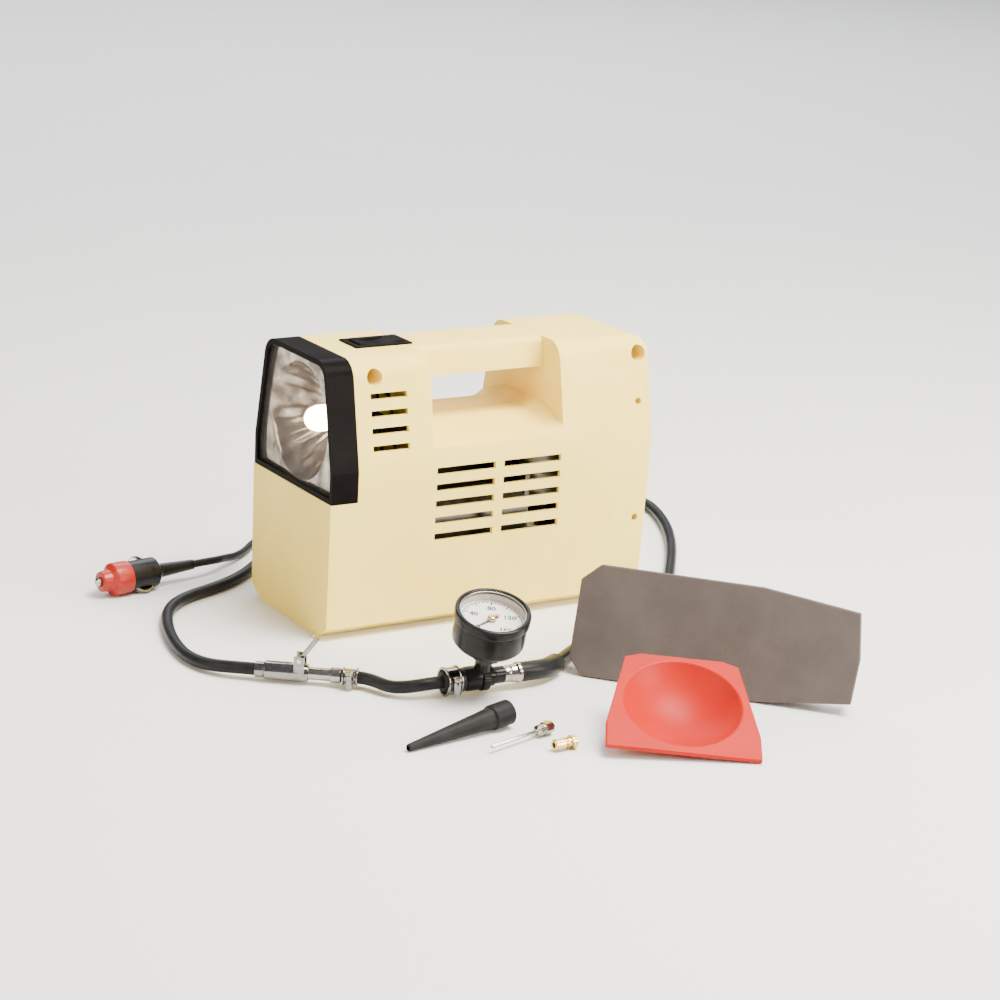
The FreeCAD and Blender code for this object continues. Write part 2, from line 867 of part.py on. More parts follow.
def screw_set():
    """The four screws that close the housing, each driven from the near side."""
    pieces = []
    for index, x in enumerate(long_screws()):
        head = rod(f"long_head_{index}", "Y", dim.screw_head_radius, dim.screw_head_height,
                   x, -dim.screw_well_end - dim.screw_head_height, dim.screw_height)
        shank = rod(f"long_shank_{index}", "Y", dim.screw_radius - 0.1, dim.screw_well_end + dim.screw_reach,
                    x, -dim.screw_well_end, dim.screw_height)
        head_face = -dim.screw_well_end - dim.screw_head_height
        slot = block(f"long_slot_{index}", x - SCREW_SLOT / 2, x + SCREW_SLOT / 2, head_face - 1.0,
                     head_face + SCREW_SLOT_DEPTH, dim.screw_height - 3.0, dim.screw_height + 3.0)
        pieces.append(cut(f"long_screw_{index}", fuse(f"long_blank_{index}", head, shank), slot))
    for index, z in enumerate(small_screws()):
        seat = small_head_depth()
        head = rod(f"small_head_{index}", "Y", dim.small_screw_head_radius - 0.2, 1.4,
                   dim.small_screw_x, -seat - 1.4, z)
        shank = rod(f"small_shank_{index}", "Y", dim.small_screw_radius - 0.1, seat + dim.screw_reach,
                    dim.small_screw_x, -seat, z)
        pieces.append(fuse(f"small_screw_{index}", head, shank))
    return group("shell_screws", *pieces)


shell_screws = screw_set()


# Work light

pane_front = case_front + dim.bezel_wall
flange_front = pane_front + dim.pane_thickness
flange_back = flange_front + dim.reflector_wall
FRONT_STEP = 0.5


def case_slice(name, inset, x0, x1, z0, z1):
    """A slice of the housing's cross-section between two planes and two heights."""
    section = case_section(name + "_section", inset, x0, x1)
    window = block(name + "_heights", x0 - 1.0, x1 + 1.0, -dim.belt_half_width, dim.belt_half_width, z0, z1)
    return common(name, section, window)


def make_bezel():
    """The black hood round the lamp: a thin front and sides, open at the back."""
    front = case_front + FRONT_STEP
    outside = case_slice("bezel_outside", 0.0, front, brow_front, bezel_bottom, dim.case_height + 1.0)
    hollow = case_slice("bezel_hollow", dim.bezel_wall, pane_front, brow_front + 1.0,
                        bezel_bottom + dim.bezel_wall, dim.case_height + 1.0)
    edge = dim.bezel_wall + dim.window_lip
    window = case_slice("bezel_window", edge, front - 1.0, pane_front + 1.0, bezel_bottom + edge,
                        dim.case_height)
    return cut("lamp_bezel", outside, hollow, window)


lamp_bezel = make_bezel()
lamp_low = bezel_bottom + dim.bezel_wall
lamp_pane = case_slice("lamp_pane", dim.bezel_wall, pane_front, flange_front, lamp_low, dim.case_height)


def make_reflector():
    """A bright square flange with a round parabolic bowl behind it."""
    plate = case_slice("reflector_plate", dim.bezel_wall, flange_front, flange_back, lamp_low,
                       dim.case_height)
    mouth = rod("reflector_mouth", "X", lamp_radius - dim.reflector_wall, 4.0,
                flange_front - 1.0, 0.0, lamp_height)
    steps = 9
    depth = dim.reflector_depth
    outer = []
    inner = []
    for i in range(steps + 1):
        share = 1.0 - i / steps * 0.96
        radius = lamp_radius * share
        back = flange_front + dim.reflector_wall * 0.5 + depth * (1.0 - share * share)
        outer.append((back, radius))
        inner.append((back - dim.reflector_wall * 0.4, radius - dim.reflector_wall * 0.9))
    neck = dim.reflector_neck_radius
    outer = [point for point in outer if float(point[1]) > float(neck)]
    inner = [point for point in inner if float(point[1]) > float(neck) - 1.2]
    end = outer[-1][0] + 4.0
    profile = outer + [(end, neck), (end, neck - 0.8)] + list(reversed(inner))
    bowl = turned("reflector_bowl", "X", profile)
    move(bowl, 0.0, 0.0, lamp_height)
    return fuse("reflector", cut("reflector_flange", plate, mouth), bowl)


reflector = make_reflector()
neck_end = flange_front + dim.reflector_depth + 2.0


def make_bulb():
    """The bulb's glass, a round-ended tube, and its metal base in the reflector's neck."""
    length = dim.bulb_length
    radius = dim.bulb_radius
    tip = neck_end - length - 4.0
    glass = turned("bulb_glass", "X", [(0.0, 0.0), (radius * 0.12, radius * 0.45),
                                       (radius * 0.4, radius * 0.8), (radius, radius),
                                       (length * 0.7, radius), (length, radius * 0.75), (length, 0.0)])
    move(glass, tip, 0.0, lamp_height)
    base = rod("bulb_collar", "X", dim.bulb_base_radius, dim.bulb_base_length * 0.7,
               tip + length, 0.0, lamp_height)
    cap = rod("bulb_cap", "X", dim.bulb_base_radius * 0.6, dim.bulb_base_length * 0.3,
              tip + length + dim.bulb_base_length * 0.7, 0.0, lamp_height)
    return glass, fuse("bulb_base", base, cap)


bulb_glass, bulb_base = make_bulb()
bulb_end = neck_end - 4.0 + dim.bulb_base_length


# Rocker switch

switch_top = dim.case_height + dim.switch_rim
pivot_height = dim.case_height - dim.rocker_pivot_depth


def make_switch():
    """The switch's black frame: a rim on the housing's top and a closed tub below it."""
    half_length = dim.switch_length / 2
    half_width = dim.switch_width / 2
    neck = dim.switch_rim_width + 0.2
    rim = block("switch_rim", dim.switch_x - half_length, dim.switch_x + half_length, -half_width, half_width,
                dim.case_height, switch_top)
    tub = block("switch_tub", dim.switch_x - half_length + neck, dim.switch_x + half_length - neck,
                -half_width + neck, half_width - neck, dim.case_height - dim.switch_depth, dim.case_height)
    half_rocker = dim.rocker_length / 2 + 0.4
    side = dim.rocker_width / 2 + 0.35
    space = block("switch_space", dim.switch_x - half_rocker, dim.switch_x + half_rocker, -side, side,
                  dim.case_height - dim.switch_depth + 1.5, switch_top + 1.0)
    return cut("switch_frame", fuse("switch_blank", rim, tub), space)


def make_rocker():
    """The rocker: a dished top with a raised end on each side, turning on its own pivot."""
    half = dim.rocker_length / 2 - 0.3
    rise = dim.rocker_rise
    profile = [(-half, -1.5), (-half * 0.3, -4.5), (half * 0.3, -4.5), (half, -1.5), (half - 0.3, rise - 0.4),
               (half * 0.8, rise), (half * 0.45, rise - 1.6), (0.0, rise - 2.2),
               (-half * 0.45, rise - 1.6), (-half * 0.8, rise), (-half + 0.3, rise - 0.4)]
    body = slab("rocker_button", "XZ", -dim.rocker_width / 2, dim.rocker_width / 2, profile)
    return move(body, dim.switch_x, 0.0, pivot_height)


switch_frame = make_switch()
rocker_button = make_rocker()


# Motor

motor_back = dim.frame_front
motor_front = motor_back - dim.motor_length
can_inside = dim.motor_radius - dim.motor_wall


def motor_rod(name, radius, x0, x1):
    return rod(name, "X", radius, x1 - x0, x0, dim.motor_y, dim.motor_z)


def make_motor():
    """The can with its magnets, its end cap, the shaft with the pinion, and the armature."""
    boss = dim.shaft_radius + 3.0
    bore = dim.shaft_radius + dim.shaft_clearance
    can = cut("motor_can", motor_rod("can_outside", dim.motor_radius, motor_front, motor_back),
              motor_rod("can_inside", can_inside, motor_front - 1.0, motor_back - dim.motor_wall),
              motor_rod("can_bore", bore, motor_back - 5.0, motor_back + 1.0))
    cap = cut("motor_end_cap",
              fuse("cap_blank",
                   motor_rod("cap_plate", dim.motor_radius, motor_front - dim.end_cap_length, motor_front),
                   motor_rod("cap_boss", boss, motor_front - dim.end_cap_length - 3.0, motor_front)),
              motor_rod("cap_bore", bore, motor_front - 20.0, motor_front + 1.0))
    middle = (motor_front + motor_back) / 2 + 4.0
    half = dim.magnet_length / 2
    ring = cut("magnet_ring", motor_rod("magnet_outside", can_inside, middle - half, middle + half),
               motor_rod("magnet_inside", can_inside - dim.magnet_thickness, middle - half - 1.0,
                         middle + half + 1.0))
    gap = can_inside * 0.55
    magnets = []
    for sign in (-1, 1):
        edge = gap if sign > 0 else -can_inside - 1.0
        part_block = block(f"magnet_side_{sign}", middle - half, middle + half, dim.motor_y - can_inside - 1.0,
                           dim.motor_y + can_inside + 1.0, dim.motor_z + edge,
                           dim.motor_z + edge + can_inside + 1.0 - gap)
        magnets.append(common(f"magnet_{sign}", ring, part_block))
    magnet_pair = group("motor_magnets", *magnets)
    shaft = motor_rod("motor_shaft", dim.shaft_radius, motor_front - dim.end_cap_length - 6.0,
                      motor_back + dim.frame_plate + dim.run_gap + dim.gear_width + 1.0)
    armature_radius = can_inside - dim.magnet_thickness - dim.air_gap
    half_core = dim.armature_length / 2
    core = motor_rod("armature_core", armature_radius, middle - half_core, middle + half_core)
    commutator = motor_rod("commutator", dim.commutator_radius, middle - half_core - dim.commutator_length,
                           middle - half_core)
    grooves = []
    for turn in range(5):
        groove = doc.addObject("Part::Box", f"armature_groove_{turn}")
        bind(groove, Length=dim.armature_length + 2.0, Width=armature_radius * 0.28,
             Height=armature_radius)
        spin = FreeCAD.Rotation(Vector(1, 0, 0), 72.0 * turn)
        at = spot(middle - half_core - 1.0, dim.motor_y, dim.motor_z) + spin.multVec(
            spot(0.0, -armature_radius * 0.14, armature_radius * 0.72))
        groove.Placement = FreeCAD.Placement(at, spin)
        grooves.append(groove)
    armature = cut("armature", fuse("armature_blank", core, commutator),
                   motor_rod("armature_bore", dim.shaft_radius, motor_front, motor_back), *grooves)
    return can, cap, magnet_pair, shaft, armature


motor_can, motor_end_cap, motor_magnets, motor_shaft, armature = make_motor()


# Gears and crank

gear_front = motor_back + dim.frame_plate + dim.run_gap
gear_back = gear_front + dim.gear_width
pinion_pitch = dim.pinion_teeth * dim.gear_module / 2
gear_pitch = dim.gear_teeth * dim.gear_module / 2
crank_y = dim.motor_y
crank_z = dim.motor_z - pinion_pitch - gear_pitch


def gear_blank(name, teeth, pitch, thickness, phase):
    """A spur gear along X with straight-sided teeth, narrower at the tip than at the root."""
    body = doc.addObject("PartDesign::Body", name)
    sketch = new_sketch(body, "YZ")
    count = int(round(float(teeth)))
    tip = float(pitch + dim.gear_module * 0.85)
    foot = float(pitch - dim.gear_module * 1.15)
    ease = float(dim.tooth_clearance) / 2
    points = []
    for tooth in range(count):
        middle = 2 * math.pi * tooth / count + phase
        quarter = math.pi / (2 * count)
        for radius, share, back in ((foot, 1.45, 0.0), (tip, 0.5, 0.0), (tip, -0.5, 0.0), (foot, -1.45, 0.0)):
            angle = middle - quarter * share + math.copysign(ease / radius, share)
            points.append(Vector(radius * math.cos(angle), radius * math.sin(angle), 0))
    wire = Part.makePolygon(points + [points[0]])
    for edge in wire.Edges:
        sketch.addGeometry(Part.LineSegment(edge.Vertexes[0].Point, edge.Vertexes[1].Point), False)
    pad = body.newObject("PartDesign::Pad", name + "_teeth")
    pad.Profile = sketch
    bind(pad, Length=thickness)
    return body


def crank_rod(name, radius, x0, x1, up=0.0):
    return rod(name, "X", radius, x1 - x0, x0, crank_y, crank_z + up)


def make_gears():
    """The pinion on the motor's shaft, the crank gear with its pins, and its bush."""
    width = dim.gear_width
    pinion_blank = move(gear_blank("pinion_blank", dim.pinion_teeth, pinion_pitch, width,
                                   math.pi / 2 + math.pi / float(dim.pinion_teeth)),
                        gear_front, dim.motor_y, dim.motor_z)
    pinion_gear = cut("pinion", pinion_blank,
                      motor_rod("pinion_bore", dim.shaft_radius, gear_front - 1.0, gear_back + 1.0))
    blank = move(gear_blank("crank_blank", dim.gear_teeth, gear_pitch, width, math.pi / 2),
                 gear_front, crank_y, crank_z)
    web_space = cut("crank_web_space",
                    crank_rod("web_outside", gear_pitch - 4.0, gear_front - 1.0, gear_back - dim.gear_web),
                    crank_rod("web_inside", dim.axle_radius + 3.5, gear_front - 2.0, gear_back))
    pin_hole = crank_rod("crank_pin_hole", dim.crank_pin_radius, gear_back - dim.gear_web - 1.0,
                         gear_back + 1.0, dim.crank_throw)
    axle_hole = crank_rod("crank_axle_hole", dim.axle_radius, gear_front - 1.0, gear_back + 1.0)
    gear = cut("crank_gear", blank, web_space, pin_hole, axle_hole)
    axle = crank_rod("crank_axle", dim.axle_radius, motor_back - 6.0, gear_back)
    pin = crank_rod("crank_pin", dim.crank_pin_radius, gear_back - dim.gear_web, rod_front - dim.run_gap,
                    dim.crank_throw)
    pins = group("crank_pins", axle, pin)
    bush = cut("crank_bush", crank_rod("bush_outside", dim.axle_radius + dim.bush_wall, motor_back - 5.0,
                                       gear_front - dim.run_gap / 2),
               crank_rod("bush_bore", dim.axle_radius + dim.shaft_clearance, motor_back - 6.0, gear_front))
    return pinion_gear, gear, pins, bush


rod_front = dim.cylinder_x - dim.rod_thickness / 2
pinion, crank_gear, crank_pins, crank_bush = make_gears()


# Pump

def make_frame():
    """The pump's frame: a foot on the housing's floor, an upright plate and a shelf for the cylinder."""
    profile = [
        (dim.frame_front, wall), (dim.shelf_back, wall), (dim.shelf_back, wall + dim.frame_plate),
        (dim.frame_front + dim.frame_plate, wall + dim.frame_plate),
        (dim.frame_front + dim.frame_plate, dim.shelf_height), (dim.shelf_back, dim.shelf_height),
        (dim.shelf_back, dim.shelf_height + dim.frame_plate),
        (dim.frame_front + dim.frame_plate, dim.shelf_height + dim.frame_plate),
        (dim.frame_front + dim.frame_plate, dim.frame_top), (dim.frame_front, dim.frame_top)]
    bracket = slab("frame_bracket", "XZ", dim.frame_near_y, dim.frame_far_y, profile)
    holes = [motor_rod("frame_shaft_hole", dim.shaft_radius + 2.0, dim.frame_front - 1.0, gear_front),
             crank_rod("frame_bush_hole", dim.axle_radius + dim.bush_wall, dim.frame_front - 1.0, gear_front),
             rod("frame_rod_hole", "Z", dim.bore_radius - 0.5, 20.0, dim.cylinder_x, dim.motor_y,
                 dim.shelf_height - 2.0)]
    return cut("pump_frame", bracket, *holes)


cylinder_foot = dim.shelf_height + dim.frame_plate
cylinder_top = cylinder_foot + dim.cylinder_height


def pump_rod(name, radius, z0, z1):
    return rod(name, "Z", radius, z1 - z0, dim.cylinder_x, dim.motor_y, z0)


def around(name, radius, z0, z1, ring, count=4):
    """Rods round the cylinder, at the corners of a square."""
    rods = []
    for i in range(count):
        turn = math.pi / 4 + 2 * math.pi * i / count
        rods.append(rod(f"{name}_{i}", "Z", radius, z1 - z0, dim.cylinder_x + ring * math.cos(turn),
                        dim.motor_y + ring * math.sin(turn), z0))
    return rods


def make_pump():
    """The finned cylinder, its head with the outlet, the head's screws, the piston and its rod."""
    barrel = dim.bore_radius + dim.barrel_wall
    parts = [pump_rod("barrel", barrel, cylinder_foot, cylinder_top),
             pump_rod("low_flange", dim.flange_radius, cylinder_foot, cylinder_foot + dim.flange_thickness),
             pump_rod("high_flange", dim.flange_radius, cylinder_top - dim.flange_thickness, cylinder_top)]
    clear = (dim.cylinder_height - dim.flange_thickness * 2) / 4
    for i in range(3):
        middle = cylinder_foot + dim.flange_thickness + clear * (i + 1)
        parts.append(pump_rod(f"fin_{i}", dim.fin_radius, middle - dim.fin_thickness / 2,
                              middle + dim.fin_thickness / 2))
    ring = dim.head_screw_ring
    taps = around("flange_tap", dim.head_screw_radius, cylinder_top - dim.flange_thickness - 1.0,
                  cylinder_top + 1.0, ring)
    barrel_bore = pump_rod("barrel_bore", dim.bore_radius, cylinder_foot - 1.0, cylinder_top + 1.0)
    cylinder_part = cut("cylinder", fuse("cylinder_blank", *parts), barrel_bore, *taps)
    head_top = cylinder_top + dim.head_height
    head_blank = fuse("head_blank", pump_rod("head_disc", dim.flange_radius, cylinder_top, head_top),
                      rod("head_outlet", "Y", dim.outlet_tube_radius + 1.5, dim.flange_radius + 5.0,
                          dim.cylinder_x, dim.motor_y, cylinder_top + dim.head_height - 2.0))
    head = cut("cylinder_head", head_blank,
               rod("head_port", "Y", dim.outlet_tube_radius - 1.4, dim.flange_radius + 8.0, dim.cylinder_x,
                   dim.motor_y, cylinder_top + dim.head_height - 2.0),
               *around("head_tap", dim.head_screw_radius, cylinder_top - 1.0, head_top + 1.0, ring))
    heads = around("head_screw_head", dim.head_screw_head, head_top, head_top + 1.6, ring)
    shanks = around("head_screw_shank", dim.head_screw_radius, cylinder_top - dim.flange_thickness,
                    head_top, ring)
    screws = group("head_screws", *[fuse(f"head_screw_{i}", head, shank)
                                    for i, (head, shank) in enumerate(zip(heads, shanks))])
    eye_z = crank_z + dim.crank_throw
    pin_z = eye_z + dim.rod_length
    skirt = pump_rod("piston_skirt", dim.bore_radius - dim.piston_clearance, pin_z - 3.0,
                     pin_z - 3.0 + dim.piston_height)
    half_slot = dim.rod_thickness / 2
    slot = block("piston_slot", dim.cylinder_x - half_slot, dim.cylinder_x + half_slot,
                 dim.motor_y - dim.rod_width / 2, dim.motor_y + dim.rod_width / 2, pin_z - 4.0, pin_z + 2.0)
    piston_part = cut("piston", skirt, slot)
    half = dim.rod_width / 2
    shaft = block("rod_shaft", rod_front, rod_front + dim.rod_thickness, dim.motor_y - half, dim.motor_y + half,
                  eye_z, pin_z + 2.0)
    eye = rod("rod_eye", "X", dim.rod_eye_radius, dim.rod_thickness, rod_front, dim.motor_y, eye_z)
    eye_hole = rod("rod_eye_hole", "X", dim.crank_pin_radius + 0.05, dim.rod_thickness + 2.0, rod_front - 1.0,
                   dim.motor_y, eye_z)
    con_rod = cut("connecting_rod", fuse("rod_blank", shaft, eye), eye_hole)
    return cylinder_part, head, screws, piston_part, con_rod


pump_frame = make_frame()
cylinder, cylinder_head, head_screws, piston, connecting_rod = make_pump()


# Glands on the far side, below the storage bay

gland_y = flank(dim.gland_height)
# What a gland's flanges keep clear of the wall, which leans a little across their width
flange_clear = dim.hose_gland_radius * 0.04


def make_hose_gland():
    """The air outlet: a flanged spigot through the far wall that the hose is clamped on."""
    neck = dim.hose_gland_radius - dim.gland_flange
    gland = turned("hose_gland", "X", [
        (-wall - 6.0, 1.6), (-wall - 6.0, dim.outlet_tube_radius), (-wall - 1.5, dim.outlet_tube_radius),
        (-wall - 1.5, neck + 0.6), (-wall - flange_clear, neck + 0.6), (-wall - flange_clear, neck),
        (flange_clear, neck), (flange_clear, dim.hose_gland_radius),
        (dim.hose_gland_length, dim.hose_gland_radius - 0.6), (dim.hose_gland_length, 1.6)])
    gland.Placement = FreeCAD.Placement(spot(dim.hose_gland_x, gland_y, dim.gland_height),
                                        FreeCAD.Rotation(Vector(0, 0, 1), 90))
    return gland


def make_cord_relief():
    """The tapered rubber sleeve that the power cord leaves the housing through."""
    neck = dim.relief_radius - dim.gland_flange
    sleeve = turned("cord_relief", "X", [
        (-wall - 1.8, 0.0), (-wall - 1.8, dim.relief_radius), (-wall - flange_clear, dim.relief_radius),
        (-wall - flange_clear, neck), (flange_clear, neck), (flange_clear, dim.relief_radius),
        (dim.relief_length, dim.relief_tip_radius), (dim.relief_length, 0.0)])
    sleeve.Placement = FreeCAD.Placement(spot(dim.relief_x, gland_y, dim.gland_height),
                                         FreeCAD.Rotation(Vector(0, 0, 1), 90))
    return sleeve


hose_gland = make_hose_gland()
cord_relief = make_cord_relief()


# What runs between the inner pieces

outlet_y = dim.motor_y + dim.flange_radius + 5.0
outlet_z = cylinder_top + dim.head_height - 2.0
outlet_tube = cord("outlet_tube", dim.outlet_tube_radius, [
    tuple(spot(dim.cylinder_x, outlet_y, outlet_z)), tuple(spot(dim.cylinder_x, outlet_y + 9.0, outlet_z)),
    (52.0, 10.6, 94.0), (51.0, 6.6, 82.0), (49.0, 5.8, 60.0), (44.0, 7.4, 36.0), (33.0, 8.4, 20.0),
    (18.0, 12.0, 14.6), (5.0, 18.6, 14.2), tuple(spot(dim.hose_gland_x, 31.0, dim.gland_height)),
    tuple(spot(dim.hose_gland_x, gland_y - wall - 6.0, dim.gland_height))])

tub_floor = dim.case_height - dim.switch_depth


def below_tub(x, y, drop):
    """A point of a lead, measured down from the floor of the switch's tub."""
    return tuple(spot(x, y, tub_floor - drop))


inner_wires = cord("inner_wires", dim.lead_radius, [
    tuple(spot(dim.relief_x, gland_y - wall - 1.8, dim.gland_height)),
    tuple(spot(dim.relief_x, 32.0, dim.gland_height)), (76.0, 17.0, 11.0), (48.0, 6.0, 9.0),
    (18.0, 2.0, 8.0), (-14.0, -2.0, 8.5), (-40.0, -1.0, 14.0), (-53.0, 2.0, 36.0), (-55.0, 0.0, 66.0),
    (-52.0, -3.0, 98.0), below_tub(-56.0, 2.0, 27.5), below_tub(-57.0, 3.0, 13.5),
    below_tub(-57.0, 3.0, 0.0)],
    [below_tub(-53.0, -4.0, 0.0), below_tub(-53.0, -4.0, 12.5), below_tub(-52.0, -9.0, 25.5),
     below_tub(-50.0, -14.0, 47.5), (-50.0, -15.0, 88.0), (-49.0, -17.0, 73.0),
     tuple(spot(motor_front - dim.end_cap_length, -17.0, 73.0))],
    [below_tub(-61.0, 4.0, 0.0), below_tub(-61.0, 4.0, 8.5), below_tub(-56.0, 3.0, 17.5),
     below_tub(-55.0, 1.5, 25.5),
     tuple(spot(bulb_end + 7.0, 1.0, lamp_height)), tuple(spot(bulb_end, 1.0, lamp_height))])


# Power cord: from the relief into a tied coil behind the housing, then round the front to the plug

cord_radius = dim.cord_diameter / 2
hose_radius = dim.hose_diameter / 2
coil_low = dim.floor_gap
coil_half = dim.coil_band_width / 2


def make_coil():
    """The bundle of turns, as one ring with rounded corners, and the strap that ties it."""
    mean = dim.coil_mean_radius
    high = dim.coil_band_height
    trim = dim.cord_diameter * 0.5
    profile = [(mean - coil_half + trim, 0.0), (mean + coil_half - trim, 0.0),
               (mean + coil_half, trim), (mean + coil_half, high - trim),
               (mean + coil_half - trim, high), (mean - coil_half + trim, high),
               (mean - coil_half, high - trim), (mean - coil_half, trim)]
    coil = move(turned("cord_coil", "Z", profile), dim.coil_x, dim.coil_y, coil_low + dim.tie_wall)
    half = dim.tie_width / 2
    outside = block("tie_outside", dim.coil_x - half, dim.coil_x + half,
                    dim.coil_y + mean - coil_half - dim.tie_wall,
                    dim.coil_y + mean + coil_half + dim.tie_wall,
                    coil_low, coil_low + high + dim.tie_wall * 2)
    tie = cut("coil_tie", outside, move(turned("tie_space", "Z", profile), dim.coil_x, dim.coil_y,
                                        coil_low + dim.tie_wall))
    return coil, tie


cord_coil, coil_tie = make_coil()

plug_frame = heading_frame(dim.plug_tip_x, dim.plug_tip_y, dim.plug_radius + dim.plug_floor_gap,
                           dim.plug_heading)
plug_length = (dim.plug_pin_proud + dim.plug_nose_length + dim.plug_ring_length + dim.plug_barrel_length
               + dim.plug_grip_length)
plug_cord_end = plug_frame.multVec(spot(plug_length, 0.0, 0.0))
plug_lead = plug_frame.multVec(spot(plug_length + 10.0, 0.0, 0.0))

CORD_LEVEL = 2.7
power_cord = cord("power_cord", cord_radius, [
    (float(dim.relief_x), float(gland_y + dim.relief_length), float(dim.gland_height)),
    tuple(spot(dim.relief_x, gland_y + dim.relief_length + 13.0, dim.gland_height)),
    (88.5, 107.0, 11.0), (95.0, 121.0, 9.0), (97.5, 137.0, 9.5),
    (float(dim.coil_x + dim.coil_mean_radius + coil_half - cord_radius), float(dim.coil_y) + 14.0, 10.0)],
    [
    (48.0, float(dim.coil_y + dim.coil_mean_radius + coil_half - cord_radius), 9.0),
    (26.0, 177.0, 5.0), (0.0, 176.0, CORD_LEVEL), (-26.0, 168.0, CORD_LEVEL), (-50.0, 155.0, CORD_LEVEL),
    (-70.0, 140.0, CORD_LEVEL), (-84.0, 124.0, CORD_LEVEL), (-97.0, 112.5, CORD_LEVEL + 1.6),
    (-108.5, 104.0, CORD_LEVEL + 4.2), (-117.5, 96.0, CORD_LEVEL + 6.6), tuple(plug_lead),
    tuple(plug_cord_end)])


def make_plug():
    """The lighter plug, from its sprung centre pin back to its grip, on the X axis of its frame."""
    proud = dim.plug_pin_proud
    nose_end = proud + dim.plug_nose_length
    ring_end = nose_end + dim.plug_ring_length
    barrel_end = ring_end + dim.plug_barrel_length
    pin_bore = dim.plug_pin_radius + 0.05
    cavity = ring_end + 4.0
    pin_root = nose_end + 2.0
    nose = turned("plug_nose", "X", [
        (proud, pin_bore), (proud, dim.plug_nose_radius - 0.8), (proud + 0.8, dim.plug_nose_radius),
        (nose_end, dim.plug_nose_radius), (nose_end, dim.plug_radius - 0.8),
        (nose_end + 0.8, dim.plug_radius),
        (ring_end - 0.8, dim.plug_radius), (ring_end, dim.plug_radius - 0.8), (ring_end, pin_bore + 1.2),
        (nose_end, pin_bore + 1.2), (nose_end, pin_bore)])
    body = turned("plug_barrel", "X", [
        (ring_end, pin_bore + 1.2), (ring_end, dim.plug_barrel_radius),
        (barrel_end - 3.0, dim.plug_barrel_radius),
        (barrel_end, dim.plug_grip_radius + 1.6), (barrel_end + 2.0, dim.plug_grip_radius),
        (plug_length, dim.relief_tip_radius), (plug_length, 0.0), (cavity + 8.0, 0.0),
        (cavity + 8.0, pin_bore + 1.2)])
    base = dim.plug_barrel_radius - 2.0
    peak = dim.plug_radius + dim.contact_proud
    pockets = []
    contacts = []
    for sign in (-1, 1):
        start = ring_end + 2.0
        low = dim.plug_barrel_radius - 2.0 if sign > 0 else -dim.plug_barrel_radius - 4.0
        pockets.append(block(f"contact_pocket_{sign}", start, start + dim.contact_length,
                             -dim.contact_width / 2, dim.contact_width / 2, low, low + 6.0))
        middle = start + dim.contact_length * 0.5
        end = start + dim.contact_length
        bow = slab(f"contact_{sign}", "XZ", -dim.contact_width / 2 + 0.3, dim.contact_width / 2 - 0.3, [
            (start + 0.2, sign * base), (middle - 2.5, sign * peak), (middle + 2.5, sign * peak),
            (end - 0.2, sign * base), (end - 1.6, sign * base),
            (middle + 2.1, sign * (peak - dim.contact_thickness)),
            (middle - 2.1, sign * (peak - dim.contact_thickness)), (start + 1.6, sign * base)])
        contacts.append(bow)
    pin = turned("plug_tip", "X", [
        (0.0, 0.0), (0.0, dim.plug_pin_radius * 0.5), (proud * 0.35, dim.plug_pin_radius),
        (nose_end + 0.4, dim.plug_pin_radius), (nose_end + 0.4, pin_bore + 0.7), (pin_root, pin_bore + 0.7),
        (pin_root, 0.0)])
    spring_end = cavity + 8.0
    turns = int(round(float(dim.spring_turns)))
    gap = float(spring_end - pin_root)
    helix = Part.makeHelix((gap - 2.2 * float(dim.spring_wire)) / turns, gap - 2.2 * float(dim.spring_wire),
                           float(dim.plug_pin_radius) * 0.8)
    start_point = helix.Edges[0].Vertexes[0].Point
    ring = Part.Wire(Part.Circle(start_point, Vector(0, 1, 0), float(dim.spring_wire)).toShape())
    wire = Part.Wire(helix.Edges)
    spring_shape = wire.makePipeShell([ring], True, True)
    spring_shape.Placement = FreeCAD.Placement(spot(pin_root + 1.1 * dim.spring_wire, 0.0, 0.0),
                                               FreeCAD.Rotation(Vector(0, 1, 0), 90))
    spring = doc.addObject("Part::Feature", "tip_spring")
    spring.Shape = spring_shape
    lean = FreeCAD.Placement(Vector(), FreeCAD.Rotation(Vector(1, 0, 0), float(dim.contact_lean)))
    barrel = cut("plug_body", body, place(group("contact_pockets", *pockets), lean))
    pair = group("plug_contacts", *contacts)
    for piece in (nose, barrel, pin):
        place(piece, plug_frame)
    place(pair, plug_frame.multiply(lean))
    spring.Placement = plug_frame.multiply(spring.Placement)
    return nose, barrel, pair, pin, spring


plug_nose, plug_body, plug_contacts, plug_tip, tip_spring = make_plug()


# Air hose and its thumb-lock chuck

